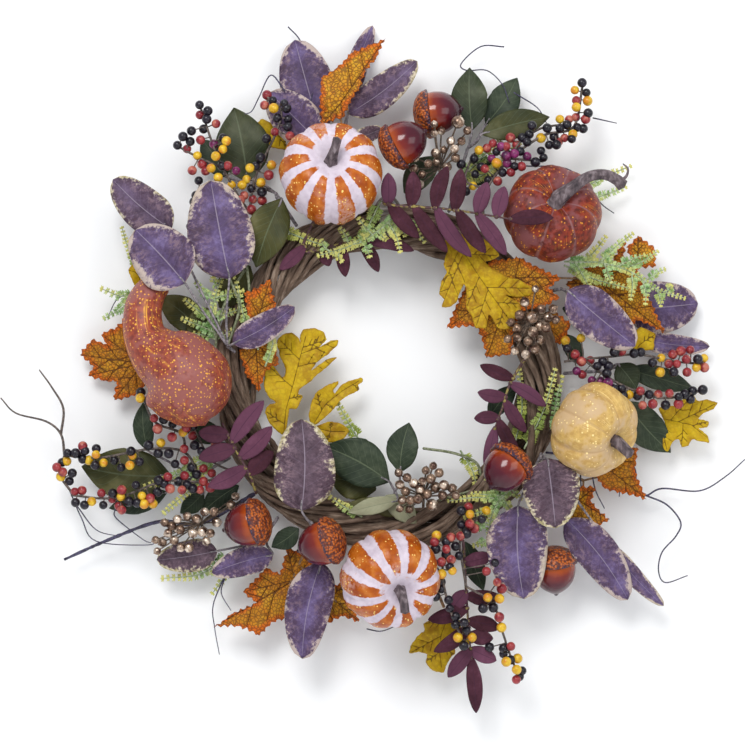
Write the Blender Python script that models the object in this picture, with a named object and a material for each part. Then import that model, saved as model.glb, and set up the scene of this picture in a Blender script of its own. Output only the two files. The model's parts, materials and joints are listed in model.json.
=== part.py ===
"""Harvest door wreath: a grapevine ring dressed with gourds, acorns, leaves, berries and cedar.

Metres, +Z up. The wreath hangs in the XZ plane and its front faces -Y. The origin is the point
inside the top of the hanging loop where a door hook bears, and the door is a little way behind at +Y.

Plan coordinates in this file are millimetres: (across, up, depth), from the centre of the ring,
with depth measured forward from the door. The plan is drawn for the PLAN_ sizes below. When the
ring, the bundle or a gourd has another size, each pick is carried along with what it sits against.
"""

import math

import bmesh
import bpy
from mathutils import Matrix, Vector

# Driving dimensions, in metres
RING_RADIUS = 0.130
BUNDLE_RADIUS = 0.018
VINE_GAP = 0.0006
STRAP_WIDTH = 0.014
STRAP_THICKNESS = 0.0010
STRAP_CLEARANCE = 0.0006
LOOP_WIRE_RADIUS = 0.00125
LOOP_WIDTH = 0.024
LOOP_HEIGHT = 0.028
LOOP_CORNER = 0.003
ARCH_FULLNESS = 0.8
HINGE_CLEARANCE = 0.00045
HINGE_WALL = 0.0015
DOOR_GAP = 0.0004
UPPER_PUMPKIN_RADIUS = 0.0440
LOWER_PUMPKIN_RADIUS = 0.0425
BURGUNDY_PUMPKIN_RADIUS = 0.0420
CROOKNECK_BULB_RADIUS = 0.0400
TAN_GOURD_RADIUS = 0.0400
STEM_SEAT_GAP = 0.0004
ACORN_RADIUS = 0.0190
ACORN_LENGTH = 0.0440
LEAF_THICKNESS = 0.0014
PETIOLE_RADIUS = 0.0010
PICK_STEM_RADIUS = 0.0014
BERRY_RADIUS = 0.0060
BRONZE_BERRY_RADIUS = 0.0070
TENDRIL_RADIUS = 0.0008

# Sizes that the plan below is drawn for
PLAN_RING_RADIUS = 0.130
PLAN_BUNDLE_RADIUS = 0.018
PLAN_BUNDLE_DEPTH = 0.0257
PLAN_GOURD_RADII = {
    "striped_pumpkin_upper": 0.0440,
    "striped_pumpkin_lower": 0.0425,
    "burgundy_pumpkin": 0.0420,
    "crookneck_gourd": 0.0400,
    "tan_gourd": 0.0400,
}
GOURD_RADII = {
    "striped_pumpkin_upper": UPPER_PUMPKIN_RADIUS,
    "striped_pumpkin_lower": LOWER_PUMPKIN_RADIUS,
    "burgundy_pumpkin": BURGUNDY_PUMPKIN_RADIUS,
    "crookneck_gourd": CROOKNECK_BULB_RADIUS,
    "tan_gourd": TAN_GOURD_RADIUS,
}
GOURD_PLACES = {
    "striped_pumpkin_upper": (-48, 172, 74),
    "striped_pumpkin_lower": (2, -169, 72),
    "burgundy_pumpkin": (139, 139, 60),
    "crookneck_gourd": (-171, 0, 68),
    "tan_gourd": (174, -44, 66),
}

MM = 0.001
UP = Vector((0, 0, 1))
FRONT = Vector((0, -1, 0))

# How far out of the strap's inner face the barrel starts, as a share of the strap's thickness
BARREL_STANDOFF = 0.3

# Sizes that follow from the driving dimensions
STRAP_INNER = BUNDLE_RADIUS + STRAP_CLEARANCE
STRAP_OUTER = STRAP_INNER + STRAP_THICKNESS
HINGE_BORE = LOOP_WIRE_RADIUS + HINGE_CLEARANCE
HINGE_OUTER = HINGE_BORE + HINGE_WALL
HINGE_OFFSET = STRAP_INNER + HINGE_OUTER + BARREL_STANDOFF * STRAP_THICKNESS
BUNDLE_DEPTH = HINGE_OFFSET + HINGE_OUTER + DOOR_GAP
LOOP_DEPTH = BUNDLE_DEPTH - HINGE_OFFSET
HINGE_HEIGHT = -(LOOP_HEIGHT - LOOP_WIRE_RADIUS)
RING_CENTRE = Vector((0, 0, HINGE_HEIGHT - RING_RADIUS))


def clear_scene():
    for old in list(bpy.data.objects):
        bpy.data.objects.remove(old)


def material(name, colour, roughness=0.6, metallic=0.0):
    made = bpy.data.materials.new(name)
    made.use_nodes = True
    shader = made.node_tree.nodes["Principled BSDF"]
    shader.inputs["Base Color"].default_value = (*colour, 1)
    shader.inputs["Roughness"].default_value = roughness
    shader.inputs["Metallic"].default_value = metallic
    made.diffuse_color = (*colour, 1)
    return made


# Where things go

def world(point, carried):
    """A plan point as a world point, moved by what carries its pick."""
    across, up, depth = point
    return RING_CENTRE + Vector((across * MM, LOOP_DEPTH - depth * MM, up * MM)) + carried


def ring_growth(across, up, inside):
    """How far a pick moves when the ring or its bundle is not the plan's size."""
    outward = Vector((across, 0, up)).normalized()
    side = -1 if inside else 1
    growth = RING_RADIUS - PLAN_RING_RADIUS + side * (BUNDLE_RADIUS - PLAN_BUNDLE_RADIUS)
    forward = BUNDLE_DEPTH - PLAN_BUNDLE_DEPTH + BUNDLE_RADIUS - PLAN_BUNDLE_RADIUS
    return outward * growth + FRONT * forward


def gourd_growth(name):
    return GOURD_RADII[name] - PLAN_GOURD_RADII[name]


def crowding(across, up, skip=()):
    """Gourds that grow push every other pick straight away from themselves."""
    moved = Vector((0, 0, 0))
    for name, place in GOURD_PLACES.items():
        if name in skip:
            continue
        away = Vector((across - place[0], 0, up - place[1]))
        if away.length > 0:
            moved += away.normalized() * gourd_growth(name)
    return moved


def carry(point, inside=False, over=()):
    """The offset of one pick: ring, bundle and gourd growth, and forward over the gourds it covers."""
    across, up = point[0], point[1]
    forward = sum((2 * gourd_growth(name) for name in over), 0.0)
    return ring_growth(across, up, inside) + crowding(across, up) + FRONT * forward


def gourd_carry(name):
    across, up, _ = GOURD_PLACES[name]
    outward = Vector((across, 0, up)).normalized() * gourd_growth(name)
    seated = ring_growth(across, up, False) + FRONT * gourd_growth(name)
    return seated + outward + crowding(across, up, skip=(name,))


# Closed shells, as (points, faces)

def tube(points, radii, sides=5):
    """A round bar through the points with flat ends."""
    points = [Vector(p) for p in points]
    if not hasattr(radii, "__len__"):
        radii = [radii] * len(points)
    along = (points[1] - points[0]).normalized()
    helper = UP if abs(along.z) < 0.9 else FRONT
    normal = along.cross(helper).normalized()
    verts = []
    for index, (point, radius) in enumerate(zip(points, radii)):
        before = points[max(index - 1, 0)]
        after = points[min(index + 1, len(points) - 1)]
        along = (after - before).normalized()
        normal = (normal - along * normal.dot(along)).normalized()
        binormal = along.cross(normal)
        for side in range(sides):
            turn = 2 * math.pi * side / sides
            verts.append(point + radius * (math.cos(turn) * normal + math.sin(turn) * binormal))
    faces = []
    for ring in range(len(points) - 1):
        for side in range(sides):
            near = ring * sides + side
            far = ring * sides + (side + 1) % sides
            faces.append((near, far, far + sides, near + sides))
    faces.append(tuple(reversed(range(sides))))
    faces.append(tuple(range(len(verts) - sides, len(verts))))
    return verts, faces


def closed_tube(centres, across, forward, radius, sides=6):
    """A ring-shaped bar: across and forward hold each centre's two section directions."""
    verts = []
    for centre, right, front in zip(centres, across, forward):
        for side in range(sides):
            turn = 2 * math.pi * side / sides
            verts.append(centre + radius * (math.cos(turn) * right + math.sin(turn) * front))
    count = len(centres)
    faces = []
    for ring in range(count):
        following = (ring + 1) % count
        for side in range(sides):
            other = (side + 1) % sides
            faces.append((ring * sides + side, ring * sides + other,
                          following * sides + other, following * sides + side))
    return verts, faces


def ball(centre, radius):
    """A twenty-sided ball."""
    golden = (1 + math.sqrt(5)) / 2
    scale = radius / math.sqrt(1 + golden * golden)
    verts = []
    for one in (-1, 1):
        for two in (-golden, golden):
            for corner in ((0, one, two), (one, two, 0), (two, 0, one)):
                verts.append(Vector(centre) + scale * Vector(corner))
    faces = []
    near = 2.1 * scale
    for first in range(12):
        for second in range(first + 1, 12):
            for third in range(second + 1, 12):
                corners = [verts[i] for i in (first, second, third)]
                spans = [(corners[i] - corners[(i + 1) % 3]).length for i in range(3)]
                if max(spans) < near:
                    facing = (corners[1] - corners[0]).cross(corners[2] - corners[0])
                    outward = facing.dot(corners[0] - Vector(centre)) > 0
                    faces.append((first, second, third) if outward else (first, third, second))
    return verts, faces


# (share of the length, share of the full width) along a blade, and its rise over its length
LEAF_STATIONS = ((0.22, 0.74), (0.5, 1.0), (0.8, 0.66))
LEAF_ARCH = 0.06


def leaf_face(base, tip, roll):
    """The way a blade faces: as far forward as its midrib allows, then turned by roll."""
    along = (tip - base).normalized()
    face = (FRONT - along * FRONT.dot(along)).normalized()
    return Matrix.Rotation(math.radians(roll), 3, along) @ face


def midrib(base, tip, share, face):
    """A point along the middle of a blade, which arches forward."""
    rise = LEAF_ARCH * (tip - base).length * math.sin(math.pi * share)
    return base.lerp(tip, share) + face * rise


def leaf_shell(base, tip, width, roll=0.0):
    """A lens-shaped blade from base to tip."""
    face = leaf_face(base, tip, roll)
    side = (tip - base).normalized().cross(face)
    verts = [base]
    for share, fullness in LEAF_STATIONS:
        middle = midrib(base, tip, share, face)
        half = width / 2 * fullness
        verts.append(middle + side * half)
        verts.append(middle + face * LEAF_THICKNESS / 2)
        verts.append(middle - side * half)
        verts.append(middle - face * LEAF_THICKNESS / 2)
    verts.append(tip)
    last = len(verts) - 1
    faces = []
    for corner in range(4):
        other = (corner + 1) % 4
        faces.append((0, 1 + other, 1 + corner))
        for station in range(len(LEAF_STATIONS) - 1):
            near = 1 + 4 * station
            faces.append((near + corner, near + other, near + 4 + other, near + 4 + corner))
        faces.append((last - 4 + corner, last - 4 + other, last))
    return verts, faces


def lobed_shell(centre, outline):
    """A lobed blade: an outline of plan points round a centre that is thickest."""
    count = len(outline)
    half = FRONT * LEAF_THICKNESS / 2
    verts = list(outline) + [centre + half, centre - half]
    faces = []
    for index in range(count):
        following = (index + 1) % count
        faces.append((index, following, count))
        faces.append((following, index, count + 1))
    return verts, faces


def turned(profile, sides, ribs=0, rib_depth=0.0):
    """A solid turned about local Z from (radius, height) pairs, bottom to top, with optional ribs."""
    verts = [Vector((0, 0, profile[0][1]))]
    for radius, height in profile[1:-1]:
        for side in range(sides):
            turn = 2 * math.pi * side / sides
            dent = rib_depth * (1 - abs(math.cos(ribs * turn / 2))) if ribs else 0
            reach = radius * (1 - dent)
            verts.append(Vector((reach * math.cos(turn), reach * math.sin(turn), height)))
    verts.append(Vector((0, 0, profile[-1][1])))
    rings = len(profile) - 2
    faces = []
    for side in range(sides):
        other = (side + 1) % sides
        faces.append((0, 1 + other, 1 + side))
        for ring in range(rings - 1):
            near = 1 + ring * sides
            faces.append((near + side, near + other, near + sides + other, near + sides + side))
        top = 1 + (rings - 1) * sides
        faces.append((top + side, top + other, len(verts) - 1))
    return verts, faces


def aimed(shell, centre, axis, spin=0.0):
    """A shell built about local Z, turned so that Z points along axis and moved to centre."""
    turn = Vector(axis).normalized().to_track_quat("Z", "Y").to_matrix()
    turn = turn @ Matrix.Rotation(math.radians(spin), 3, "Z")
    verts, faces = shell
    return [Vector(centre) + turn @ v for v in verts], faces


# Objects

def face_outwards(mesh):
    """Turns the faces of every closed shell in the mesh outwards."""
    work = bmesh.new()
    work.from_mesh(mesh)
    bmesh.ops.recalc_face_normals(work, faces=work.faces)
    work.to_mesh(mesh)
    work.free()


def solid(name, shell, paint, pivot=None):
    """One object from a closed shell, with its origin at the pivot."""
    verts, faces = shell
    pivot = Vector(pivot) if pivot else Vector((0, 0, 0))
    mesh = bpy.data.meshes.new(name)
    mesh.from_pydata([tuple(v - pivot) for v in verts], [], faces)
    mesh.materials.append(paint)
    face_outwards(mesh)
    mesh.shade_smooth()
    mesh.set_sharp_from_angle(angle=math.radians(40))
    made = bpy.data.objects.new(name, mesh)
    made.location = pivot
    bpy.context.scene.collection.objects.link(made)
    return made


def joined(shells):
    verts, faces = [], []
    for more_verts, more_faces in shells:
        start = len(verts)
        verts += more_verts
        faces += [tuple(start + i for i in face) for face in more_faces]
    return verts, faces


def fused(name, first, others, paint):
    """One object from overlapping closed shells, joined by a Boolean union."""
    made = solid(name, joined(others), paint)
    helper = solid(name + "_hub", first, paint)
    helper.hide_render = True
    helper.display_type = "WIRE"
    union = made.modifiers.new("join", "BOOLEAN")
    union.operation = "UNION"
    union.solver = "EXACT"
    union.use_self = True
    union.object = helper
    return made


# The ring and its hanger

def vine_bundles():
    """Three vines laid round each other like a rope, closed into a ring."""
    paint = material("grapevine", (0.20, 0.13, 0.09), 0.85)
    orbit = (2 * BUNDLE_RADIUS + VINE_GAP) / (2 + math.sqrt(3))
    steps, turns = 48, 3
    for vine, letter in enumerate("abc"):
        centres, across, forward = [], [], []
        for step in range(steps):
            angle = 2 * math.pi * step / steps
            outward = Vector((math.cos(angle), 0, math.sin(angle)))
            lay = turns * angle + 2 * math.pi * vine / 3
            middle = outward * (RING_RADIUS + orbit * math.cos(lay)) + FRONT * orbit * math.sin(lay)
            centres.append(middle)
            across.append(outward)
            forward.append(FRONT)
        shell = closed_tube(centres, across, forward, BUNDLE_RADIUS - orbit)
        place = RING_CENTRE + Vector((0, LOOP_DEPTH - BUNDLE_DEPTH, 0))
        solid("vine_bundle_" + letter, ([place + v for v in shell[0]], shell[1]), paint)


def pipe_shell(middle, inner, outer, length, sides):
    """A round pipe along X."""
    verts, faces = [], []
    for end in (-0.5, 0.5):
        for radius in (inner, outer):
            for side in range(sides):
                turn = 2 * math.pi * side / sides
                offset = Vector((end * length, radius * math.cos(turn), radius * math.sin(turn)))
                verts.append(middle + offset)
    for side in range(sides):
        other = (side + 1) % sides
        a, b, c, d = (k * sides + side for k in range(4))
        e, f, g, h = (k * sides + other for k in range(4))
        faces += [(a, b, f, e), (c, g, h, d), (a, e, g, c), (b, d, h, f)]
    return verts, faces


def hanger():
    """A strap round the top of the bundle, and a D-shaped wire loop hinged in its barrel."""
    steel = material("hanger_steel", (0.30, 0.27, 0.24), 0.45, 0.9)
    top = RING_CENTRE + Vector((0, LOOP_DEPTH - BUNDLE_DEPTH, RING_RADIUS))
    barrel_middle = Vector((0, 0, HINGE_HEIGHT))
    band = pipe_shell(top, STRAP_INNER / math.cos(math.pi / 24), STRAP_OUTER, STRAP_WIDTH, 24)
    barrel = pipe_shell(barrel_middle, HINGE_BORE, HINGE_OUTER, STRAP_WIDTH, 12)
    fused("hanger_strap", barrel, [band], steel)
    half = LOOP_WIDTH / 2
    side_foot = 1.5 * LOOP_CORNER
    path = []
    for share in (-1, -0.5, 0, 0.5, 1):
        path.append(Vector((share * (half - LOOP_CORNER), 0, 0)))
    path.append(Vector((half - 0.3 * LOOP_CORNER, 0, 0.3 * LOOP_CORNER)))
    arch_steps = 12
    rise = LOOP_HEIGHT - LOOP_WIRE_RADIUS - side_foot
    for step in range(arch_steps + 1):
        turn = math.pi * step / arch_steps
        lifted = side_foot
        if 0 < step < arch_steps:
            lifted += rise * math.sin(turn) ** ARCH_FULLNESS
        path.append(Vector((half * math.cos(turn), 0, lifted)))
    path.append(Vector((-half + 0.3 * LOOP_CORNER, 0, 0.3 * LOOP_CORNER)))
    across = []
    for index in range(len(path)):
        along = path[(index + 1) % len(path)] - path[index - 1]
        across.append(along.cross(FRONT).normalized())
    shell = closed_tube(path, across, [FRONT] * len(path), LOOP_WIRE_RADIUS)
    shell = ([v + barrel_middle for v in shell[0]], shell[1])
    solid("hanging_loop", shell, steel, pivot=barrel_middle)


# Gourds and acorns

STEM_SEAT_HEIGHT = 0.54
PUMPKIN_PROFILE = ((0, -0.62), (0.42, -0.74), (0.80, -0.58), (0.98, -0.22), (0.98, 0.16),
                   (0.80, 0.52), (0.48, 0.64), (0.22, STEM_SEAT_HEIGHT), (0, STEM_SEAT_HEIGHT))


def pumpkin(name, axis, stem, paint, stem_paint, ribs=10):
    """A squat ribbed body with its stem seated in the dimple; stem holds (along axis, across, up, mm)."""
    radius = GOURD_RADII[name]
    carried = gourd_carry(name)
    centre = world(GOURD_PLACES[name], carried)
    axis = Vector(axis).normalized()
    profile = [(r * radius, h * radius) for r, h in PUMPKIN_PROFILE]
    solid(name, aimed(turned(profile, 2 * ribs, ribs, 0.07), centre, axis), paint)
    seat = centre + axis * (STEM_SEAT_HEIGHT * radius + STEM_SEAT_GAP)
    points = [seat + axis * along * MM + Vector((across * MM, 0, up * MM)) for along, across, up, _ in stem]
    solid(name + "_stem", tube(points, [r * MM for _, _, _, r in stem], 6), stem_paint)


def gourds():
    white = material("striped_pumpkin", (0.85, 0.60, 0.40), 0.5)
    mauve = material("burgundy_pumpkin", (0.40, 0.13, 0.12), 0.5)
    tan = material("tan_gourd", (0.72, 0.52, 0.25), 0.5)
    rose = material("crookneck_gourd", (0.52, 0.22, 0.20), 0.5)
    grey = material("gourd_stem", (0.30, 0.24, 0.22), 0.8)
    pumpkin("striped_pumpkin_upper", (0.02, -1, 0.38),
            ((0, 0, 0, 5), (4, 0, 0, 4.5), (9, 1, 2, 4), (14, 3, 6, 3.5), (17, 5, 12, 3.5)), white, grey)
    pumpkin("striped_pumpkin_lower", (0.36, -1, -0.36),
            ((0, 0, 0, 5), (4, 0, 0, 4.5), (9, 0, -2, 4), (14, 0, -6, 3.5), (16, 0, -13, 3.5)), white, grey)
    pumpkin("burgundy_pumpkin", (0.12, -1, 0.45),
            ((0, 0, 0, 6), (5, 0, 0, 5.5), (12, 8, 5, 4.8), (12, 22, 14, 4.2), (10, 38, 18, 4),
             (8, 48, 15, 4.2), (6, 54, 11, 4.6)), mauve, grey)
    pumpkin("tan_gourd", (0.86, -0.75, -0.45),
            ((0, 0, 0, 5), (4, 0, 0, 5), (8, 2, -3, 4.5), (13, 5, -8, 4)), tan, grey, 8)
    crookneck(rose)


def crookneck(paint):
    """A bulb that narrows into a neck bent over to one side."""
    across, up, depth = GOURD_PLACES["crookneck_gourd"]
    growth = GOURD_RADII["crookneck_gourd"] / PLAN_GOURD_RADII["crookneck_gourd"]
    route = ((14, -36, 0, 12), (13, -31, 0, 22), (9, -20, 0, 33), (2, -4, 0, 39.5), (-8, 10, 0, 33.5),
             (-23, 21, -2, 24), (-33, 34, -5, 18.3), (-36, 48, -8, 16.4), (-35, 62, -12, 15.8),
             (-29, 74, -16, 13.5), (-20, 81, -19, 10), (-14, 83, -20, 6))
    carried = gourd_carry("crookneck_gourd")
    points = []
    for dx, dz, forward, _ in route:
        place = (across + dx * growth, up + dz * growth, depth + forward * growth)
        points.append(world(place, carried))
    solid("crookneck_gourd", tube(points, [r * growth * MM for *_, r in route], 12), paint)


ACORN_PROFILE = ((0, -1.0), (0.16, -0.94), (0.62, -0.66), (0.92, -0.25), (0.97, 0.18), (0.97, 0.28),
                 (1.08, 0.30), (1.06, 0.52), (0.74, 0.82), (0.25, 0.97), (0, 1.0))
ACORNS = (
    ("acorn_top_left", (14, 199, 62), (-0.85, 0.15, -0.45)),
    ("acorn_top_right", (43, 226, 40), (-0.95, 0.10, -0.15)),
    ("acorn_inner_right", (98, -77, 77), (0.60, 0.35, 0.70)),
    ("acorn_lower_right", (142, -165, 32), (-0.10, -0.20, 1.0)),
    ("acorn_left", (-120, -124, 52), (0.95, -0.20, 0.25)),
    ("acorn_bottom_left", (-57, -139, 72), (0.85, -0.25, 0.30)),
)


def acorns():
    paint = material("acorn", (0.36, 0.05, 0.07), 0.2)
    for name, place, axis in ACORNS:
        profile = [(r * ACORN_RADIUS, h * ACORN_LENGTH / 2) for r, h in ACORN_PROFILE]
        shell = aimed(turned(profile, 10), world(place, carry(place)), axis)
        solid(name, shell, paint)


# Leaf picks: a foot by the ring, a hub, and blades (base, tip, width, roll)

def stem_points(points, carried):
    return [world(p, carried) for p in points]


def leaf_pick(name, paint, stem, blades, inside=False, over=()):
    """Blades on petioles from the hub, the last point of the stem, which starts by the ring."""
    carried = carry(stem[0], inside, over)
    route = stem_points(stem, carried)
    hub = route[-1]
    shells = [tube(route, PICK_STEM_RADIUS, 4)]
    for base, tip, width, roll in blades:
        start, end = world(base, carried), world(tip, carried)
        shells.append(leaf_shell(start, end, width * MM, roll))
        inner = midrib(start, end, LEAF_STATIONS[0][0], leaf_face(start, end, roll))
        shells.append(tube([hub, start, inner], PETIOLE_RADIUS, 4))
    return fused(name, ball(hub, 1.7 * PICK_STEM_RADIUS), shells, paint)


PURPLE = (
    ("purple_leaves_top", ((-42, 144.5, 22), (-46, 176, 22)),
     (((-58, 212, 22), (-80, 291, 12), 46, 0), ((-62, 205, 30), (-101, 244, 28), 38, 0),
      ((-33, 240, 14), (-13, 304, 6), 18, 0), ((-34, 226, 26), (25, 271, 28), 28, 0),
      ((-28, 204, 28), (-5, 213, 30), 14, 0)), (), False),
    ("purple_leaves_upper_left", ((-130, 22, 46), (-136, 27, 50)),
     (((-188, 134, 46), (-229, 168, 40), 42, 0), ((-171, 79, 66), (-209, 126, 62), 48, 0),
      ((-134, 84, 60), (-150, 167, 54), 54, 0), ((-131, 29, 56), (-79, 60, 54), 24, 0)), (), False),
    ("purple_leaves_right", ((130, 73, 26), (148, 76, 40)),
     (((152, 74, 54), (209, 27, 54), 38, 0), ((206, 58, 16), (267, 64, 12), 44, 0),
      ((215, 34, 16), (277, 27, 12), 18, 0)), (), False),
    ("purple_leaves_lower_right", ((122, -90, 26), (130, -64, 52)),
     (((134, -68, 70), (141, -126, 64), 46, 0), ((110, -108, 56), (115, -187, 50), 50, 0),
      ((152, -120, 42), (205, -189, 32), 34, 0), ((188, -142, 34), (236, -195, 26), 15, 0)), (), False),
    ("purple_leaves_bottom", ((-62, -126, 46), (-66, -122, 50)),
     (((-73, -112, 58), (-73, -35, 56), 50, 0), ((-57, -156, 52), (-73, -238, 46), 38, 0)), (), False),
    ("purple_leaves_lower_left", ((-94, -119, 28), (-104, -134, 30)),
     (((-146, -148, 26), (-198, -156, 22), 27, 0), ((-98, -150, 38), (-150, -166, 36), 24, 0)), (), False),
)
GREEN = (
    ("green_leaves_upper_left", ((-78, 130, 30), (-96, 158, 34)),
     (((-120, 168, 24), (-132, 232, 18), 44, 0), ((-138, 172, 24), (-160, 205, 20), 22, 0),
      ((-90, 152, 50), (-112, 94, 50), 34, 0)), (), False),
    ("green_leaves_upper_right", ((52, 142, 28), (68, 196, 30)),
     (((72, 212, 28), (70, 266, 22), 30, 0), ((84, 218, 22), (111, 258, 16), 26, 0),
      ((80, 208, 36), (138, 223, 32), 24, 0)), (), False),
    ("green_leaves_left", ((-135, -68, 26), (-166, -86, 24)),
     (((-186, -84, 22), (-263, -76, 18), 44, 0), ((-190, -98, 14), (-240, -112, 10), 20, 0),
      ((-205, -62, 34), (-209, -21, 34), 17, 0), ((-158, -98, 22), (-178, -116, 22), 16, 0)), (), False),
    ("green_leaves_right", ((151, 4, 20), (186, 6, 18)),
     (((197, 12, 24), (213, -9, 26), 22, 0), ((205, 8, 18), (263, -9, 14), 20, 0),
      ((204, -20, 20), (243, -64, 25), 30, 0)), (), False),
    ("green_leaves_inner_bottom", ((6, -107, 30), (6, -96, 38)),
     (((1, -88, 40), (-55, -58, 36), 38, 0), ((10, -80, 46), (18, -38, 42), 26, 0),
      ((8, -104, 47), (-34, -114, 48), 14, 0)), (), True),
)


def leaf_picks():
    purple = material("purple_leaf", (0.24, 0.15, 0.28), 0.6)
    green = material("green_leaf", (0.12, 0.17, 0.06), 0.6)
    for paint, picks in ((purple, PURPLE), (green, GREEN)):
        for name, stem, blades, over, inside in picks:
            leaf_pick(name, paint, stem, blades, inside, over)


# Lobed leaves: (centre, [outline points (across, up)]); the rim lies a little behind the centre

RIM_DROP = 2


def lobed_pick(name, paint, stem, blades, inside=False):
    """Each blade is (centre, outline): a lobed plate whose centre the petiole reaches."""
    carried = carry(stem[0], inside)
    route = stem_points(stem, carried)
    hub = route[-1]
    shells = [tube(route, PICK_STEM_RADIUS, 4)]
    for centre, outline in blades:
        middle = world(centre, carried)
        rim = [world((across, up, centre[2] - RIM_DROP), carried) for across, up in outline]
        shells.append(lobed_shell(middle, rim))
        shells.append(tube([hub, middle], PETIOLE_RADIUS, 4))
    return fused(name, ball(hub, 1.7 * PICK_STEM_RADIUS), shells, paint)


MAPLE = (
    ("maple_leaf_top", ((-30, 148, 34), (-38, 200, 36)),
     (((-42, 240, 37), ((-1, 291), (-22, 262), (-24, 248), (-38, 222), (-56, 216), (-58, 236), (-57, 256),
                        (-44, 264), (-32, 272), (-18, 272)),),), False),
    ("maple_leaf_left", ((-151, 8, 22), (-196, 14, 20)),
     (((-214, 16, 20), ((-205, 34), (-222, 54), (-232, 44), (-246, 37), (-241, 29), (-254, 33), (-265, 20),
                        (-253, 10), (-258, 2), (-246, -2), (-233, -3), (-235, -19), (-212, -12), (-203, 6)),),),
     False),
    ("maple_leaf_inner_left", ((-118, 40, 47), (-114, 44, 47)),
     (((-110, 42, 47), ((-100, 84), (-95, 62), (-104, 46), (-96, 26), (-92, 12), (-104, 6), (-110, -12),
                        (-120, 2), (-126, 20), (-118, 44), (-122, 72)),),), False),
    ("maple_leaves_right", ((112, 92, 45), (112, 86, 47)),
     (((196, 84, 32), ((203, 118), (200, 98), (219, 104), (214, 90), (226, 62), (238, 38), (212, 50),
                       (209, 43), (190, 58), (178, 74), (160, 66), (152, 80), (172, 96), (188, 96))),
      ((106, 76, 47), ((88, 100), (112, 102), (147, 85), (136, 76), (146, 68), (132, 60), (112, 56),
                       (104, 20), (84, 17), (76, 44), (50, 42), (66, 78)))), False),
    ("maple_leaves_lower_right", ((138, -76, 20), (168, -88, 20)),
     (((200, -80, 22), ((214, -58), (212, -80), (222, -104), (200, -98), (186, -95), (176, -80), (190, -70))),
      ((166, -112, 26), ((158, -92), (178, -93), (174, -106), (190, -121), (176, -130), (158, -128),
                         (150, -112)))), False),
    ("maple_leaves_bottom", ((-68, -140, 26), (-76, -160, 26)),
     (((-88, -184, 28), ((-86, -146), (-64, -152), (-66, -176), (-64, -204), (-82, -206), (-94, -206),
                         (-110, -220), (-128, -212), (-149, -213), (-134, -202), (-112, -192), (-124, -183),
                         (-104, -162), (-92, -168))),
      ((-44, -192, 22), ((-32, -172), (-28, -186), (-25, -209), (-40, -204), (-54, -212), (-62, -200),
                         (-56, -180)))), False),
)
OAK = (
    ("oak_leaves_inner_left", ((-84, -69, 26), (-80, -52, 28)),
     (((-82, -6, 34), ((-92, -50), (-104, -25), (-93, -14), (-107, -5), (-100, 16), (-90, 6), (-96, 36),
                       (-78, 38), (-62, 43), (-42, 34), (-60, 14), (-44, 17), (-66, 0), (-75, -15),
                       (-78, -30), (-80, -46))),
      ((-56, -24, 26), ((-72, -40), (-66, -22), (-44, -3), (-22, 0), (-24, -11), (-42, -24), (-60, -36))),
      ((-56, -48, 22), ((-66, -44), (-46, -39), (-34, -48), (-50, -55), (-62, -54)))), True),
    ("oak_leaf_inner_right", ((50, 124, 46), (54, 116, 50)),
     (((76, 82, 52), ((48, 122), (46, 98), (54, 88), (45, 80), (46, 58), (64, 68), (72, 60), (73, 42),
                      (90, 40), (101, 42), (96, 56), (113, 57), (104, 66), (122, 75), (108, 86), (90, 98),
                      (84, 112), (66, 112))),), True),
    ("oak_leaf_outer_right", ((149, -24, 18), (222, -26, 16)),
     (((254, -38, 20), ((232, -26), (250, -24), (262, -14), (284, -21), (278, -32), (266, -36), (275, -40),
                        (276, -56), (254, -60), (246, -52), (238, -63))),), False),
    ("oak_leaf_bottom", ((28, -148, 24), (48, -196, 28)),
     (((46, -222, 30), ((52, -202), (30, -210), (26, -224), (18, -236), (34, -236), (34, -244), (48, -252),
                        (58, -236), (56, -226), (74, -226), (64, -210))),), False),
)


def lobed_picks():
    orange = material("maple_leaf", (0.60, 0.26, 0.03), 0.6)
    yellow = material("oak_leaf", (0.78, 0.56, 0.04), 0.6)
    for paint, picks in ((orange, MAPLE), (yellow, OAK)):
        for name, stem, blades, inside in picks:
            lobed_pick(name, paint, stem, blades, inside)


# Fronds: a rachis through plan points, and leaflets (where along it, from 0 to 1; tip)

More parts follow.
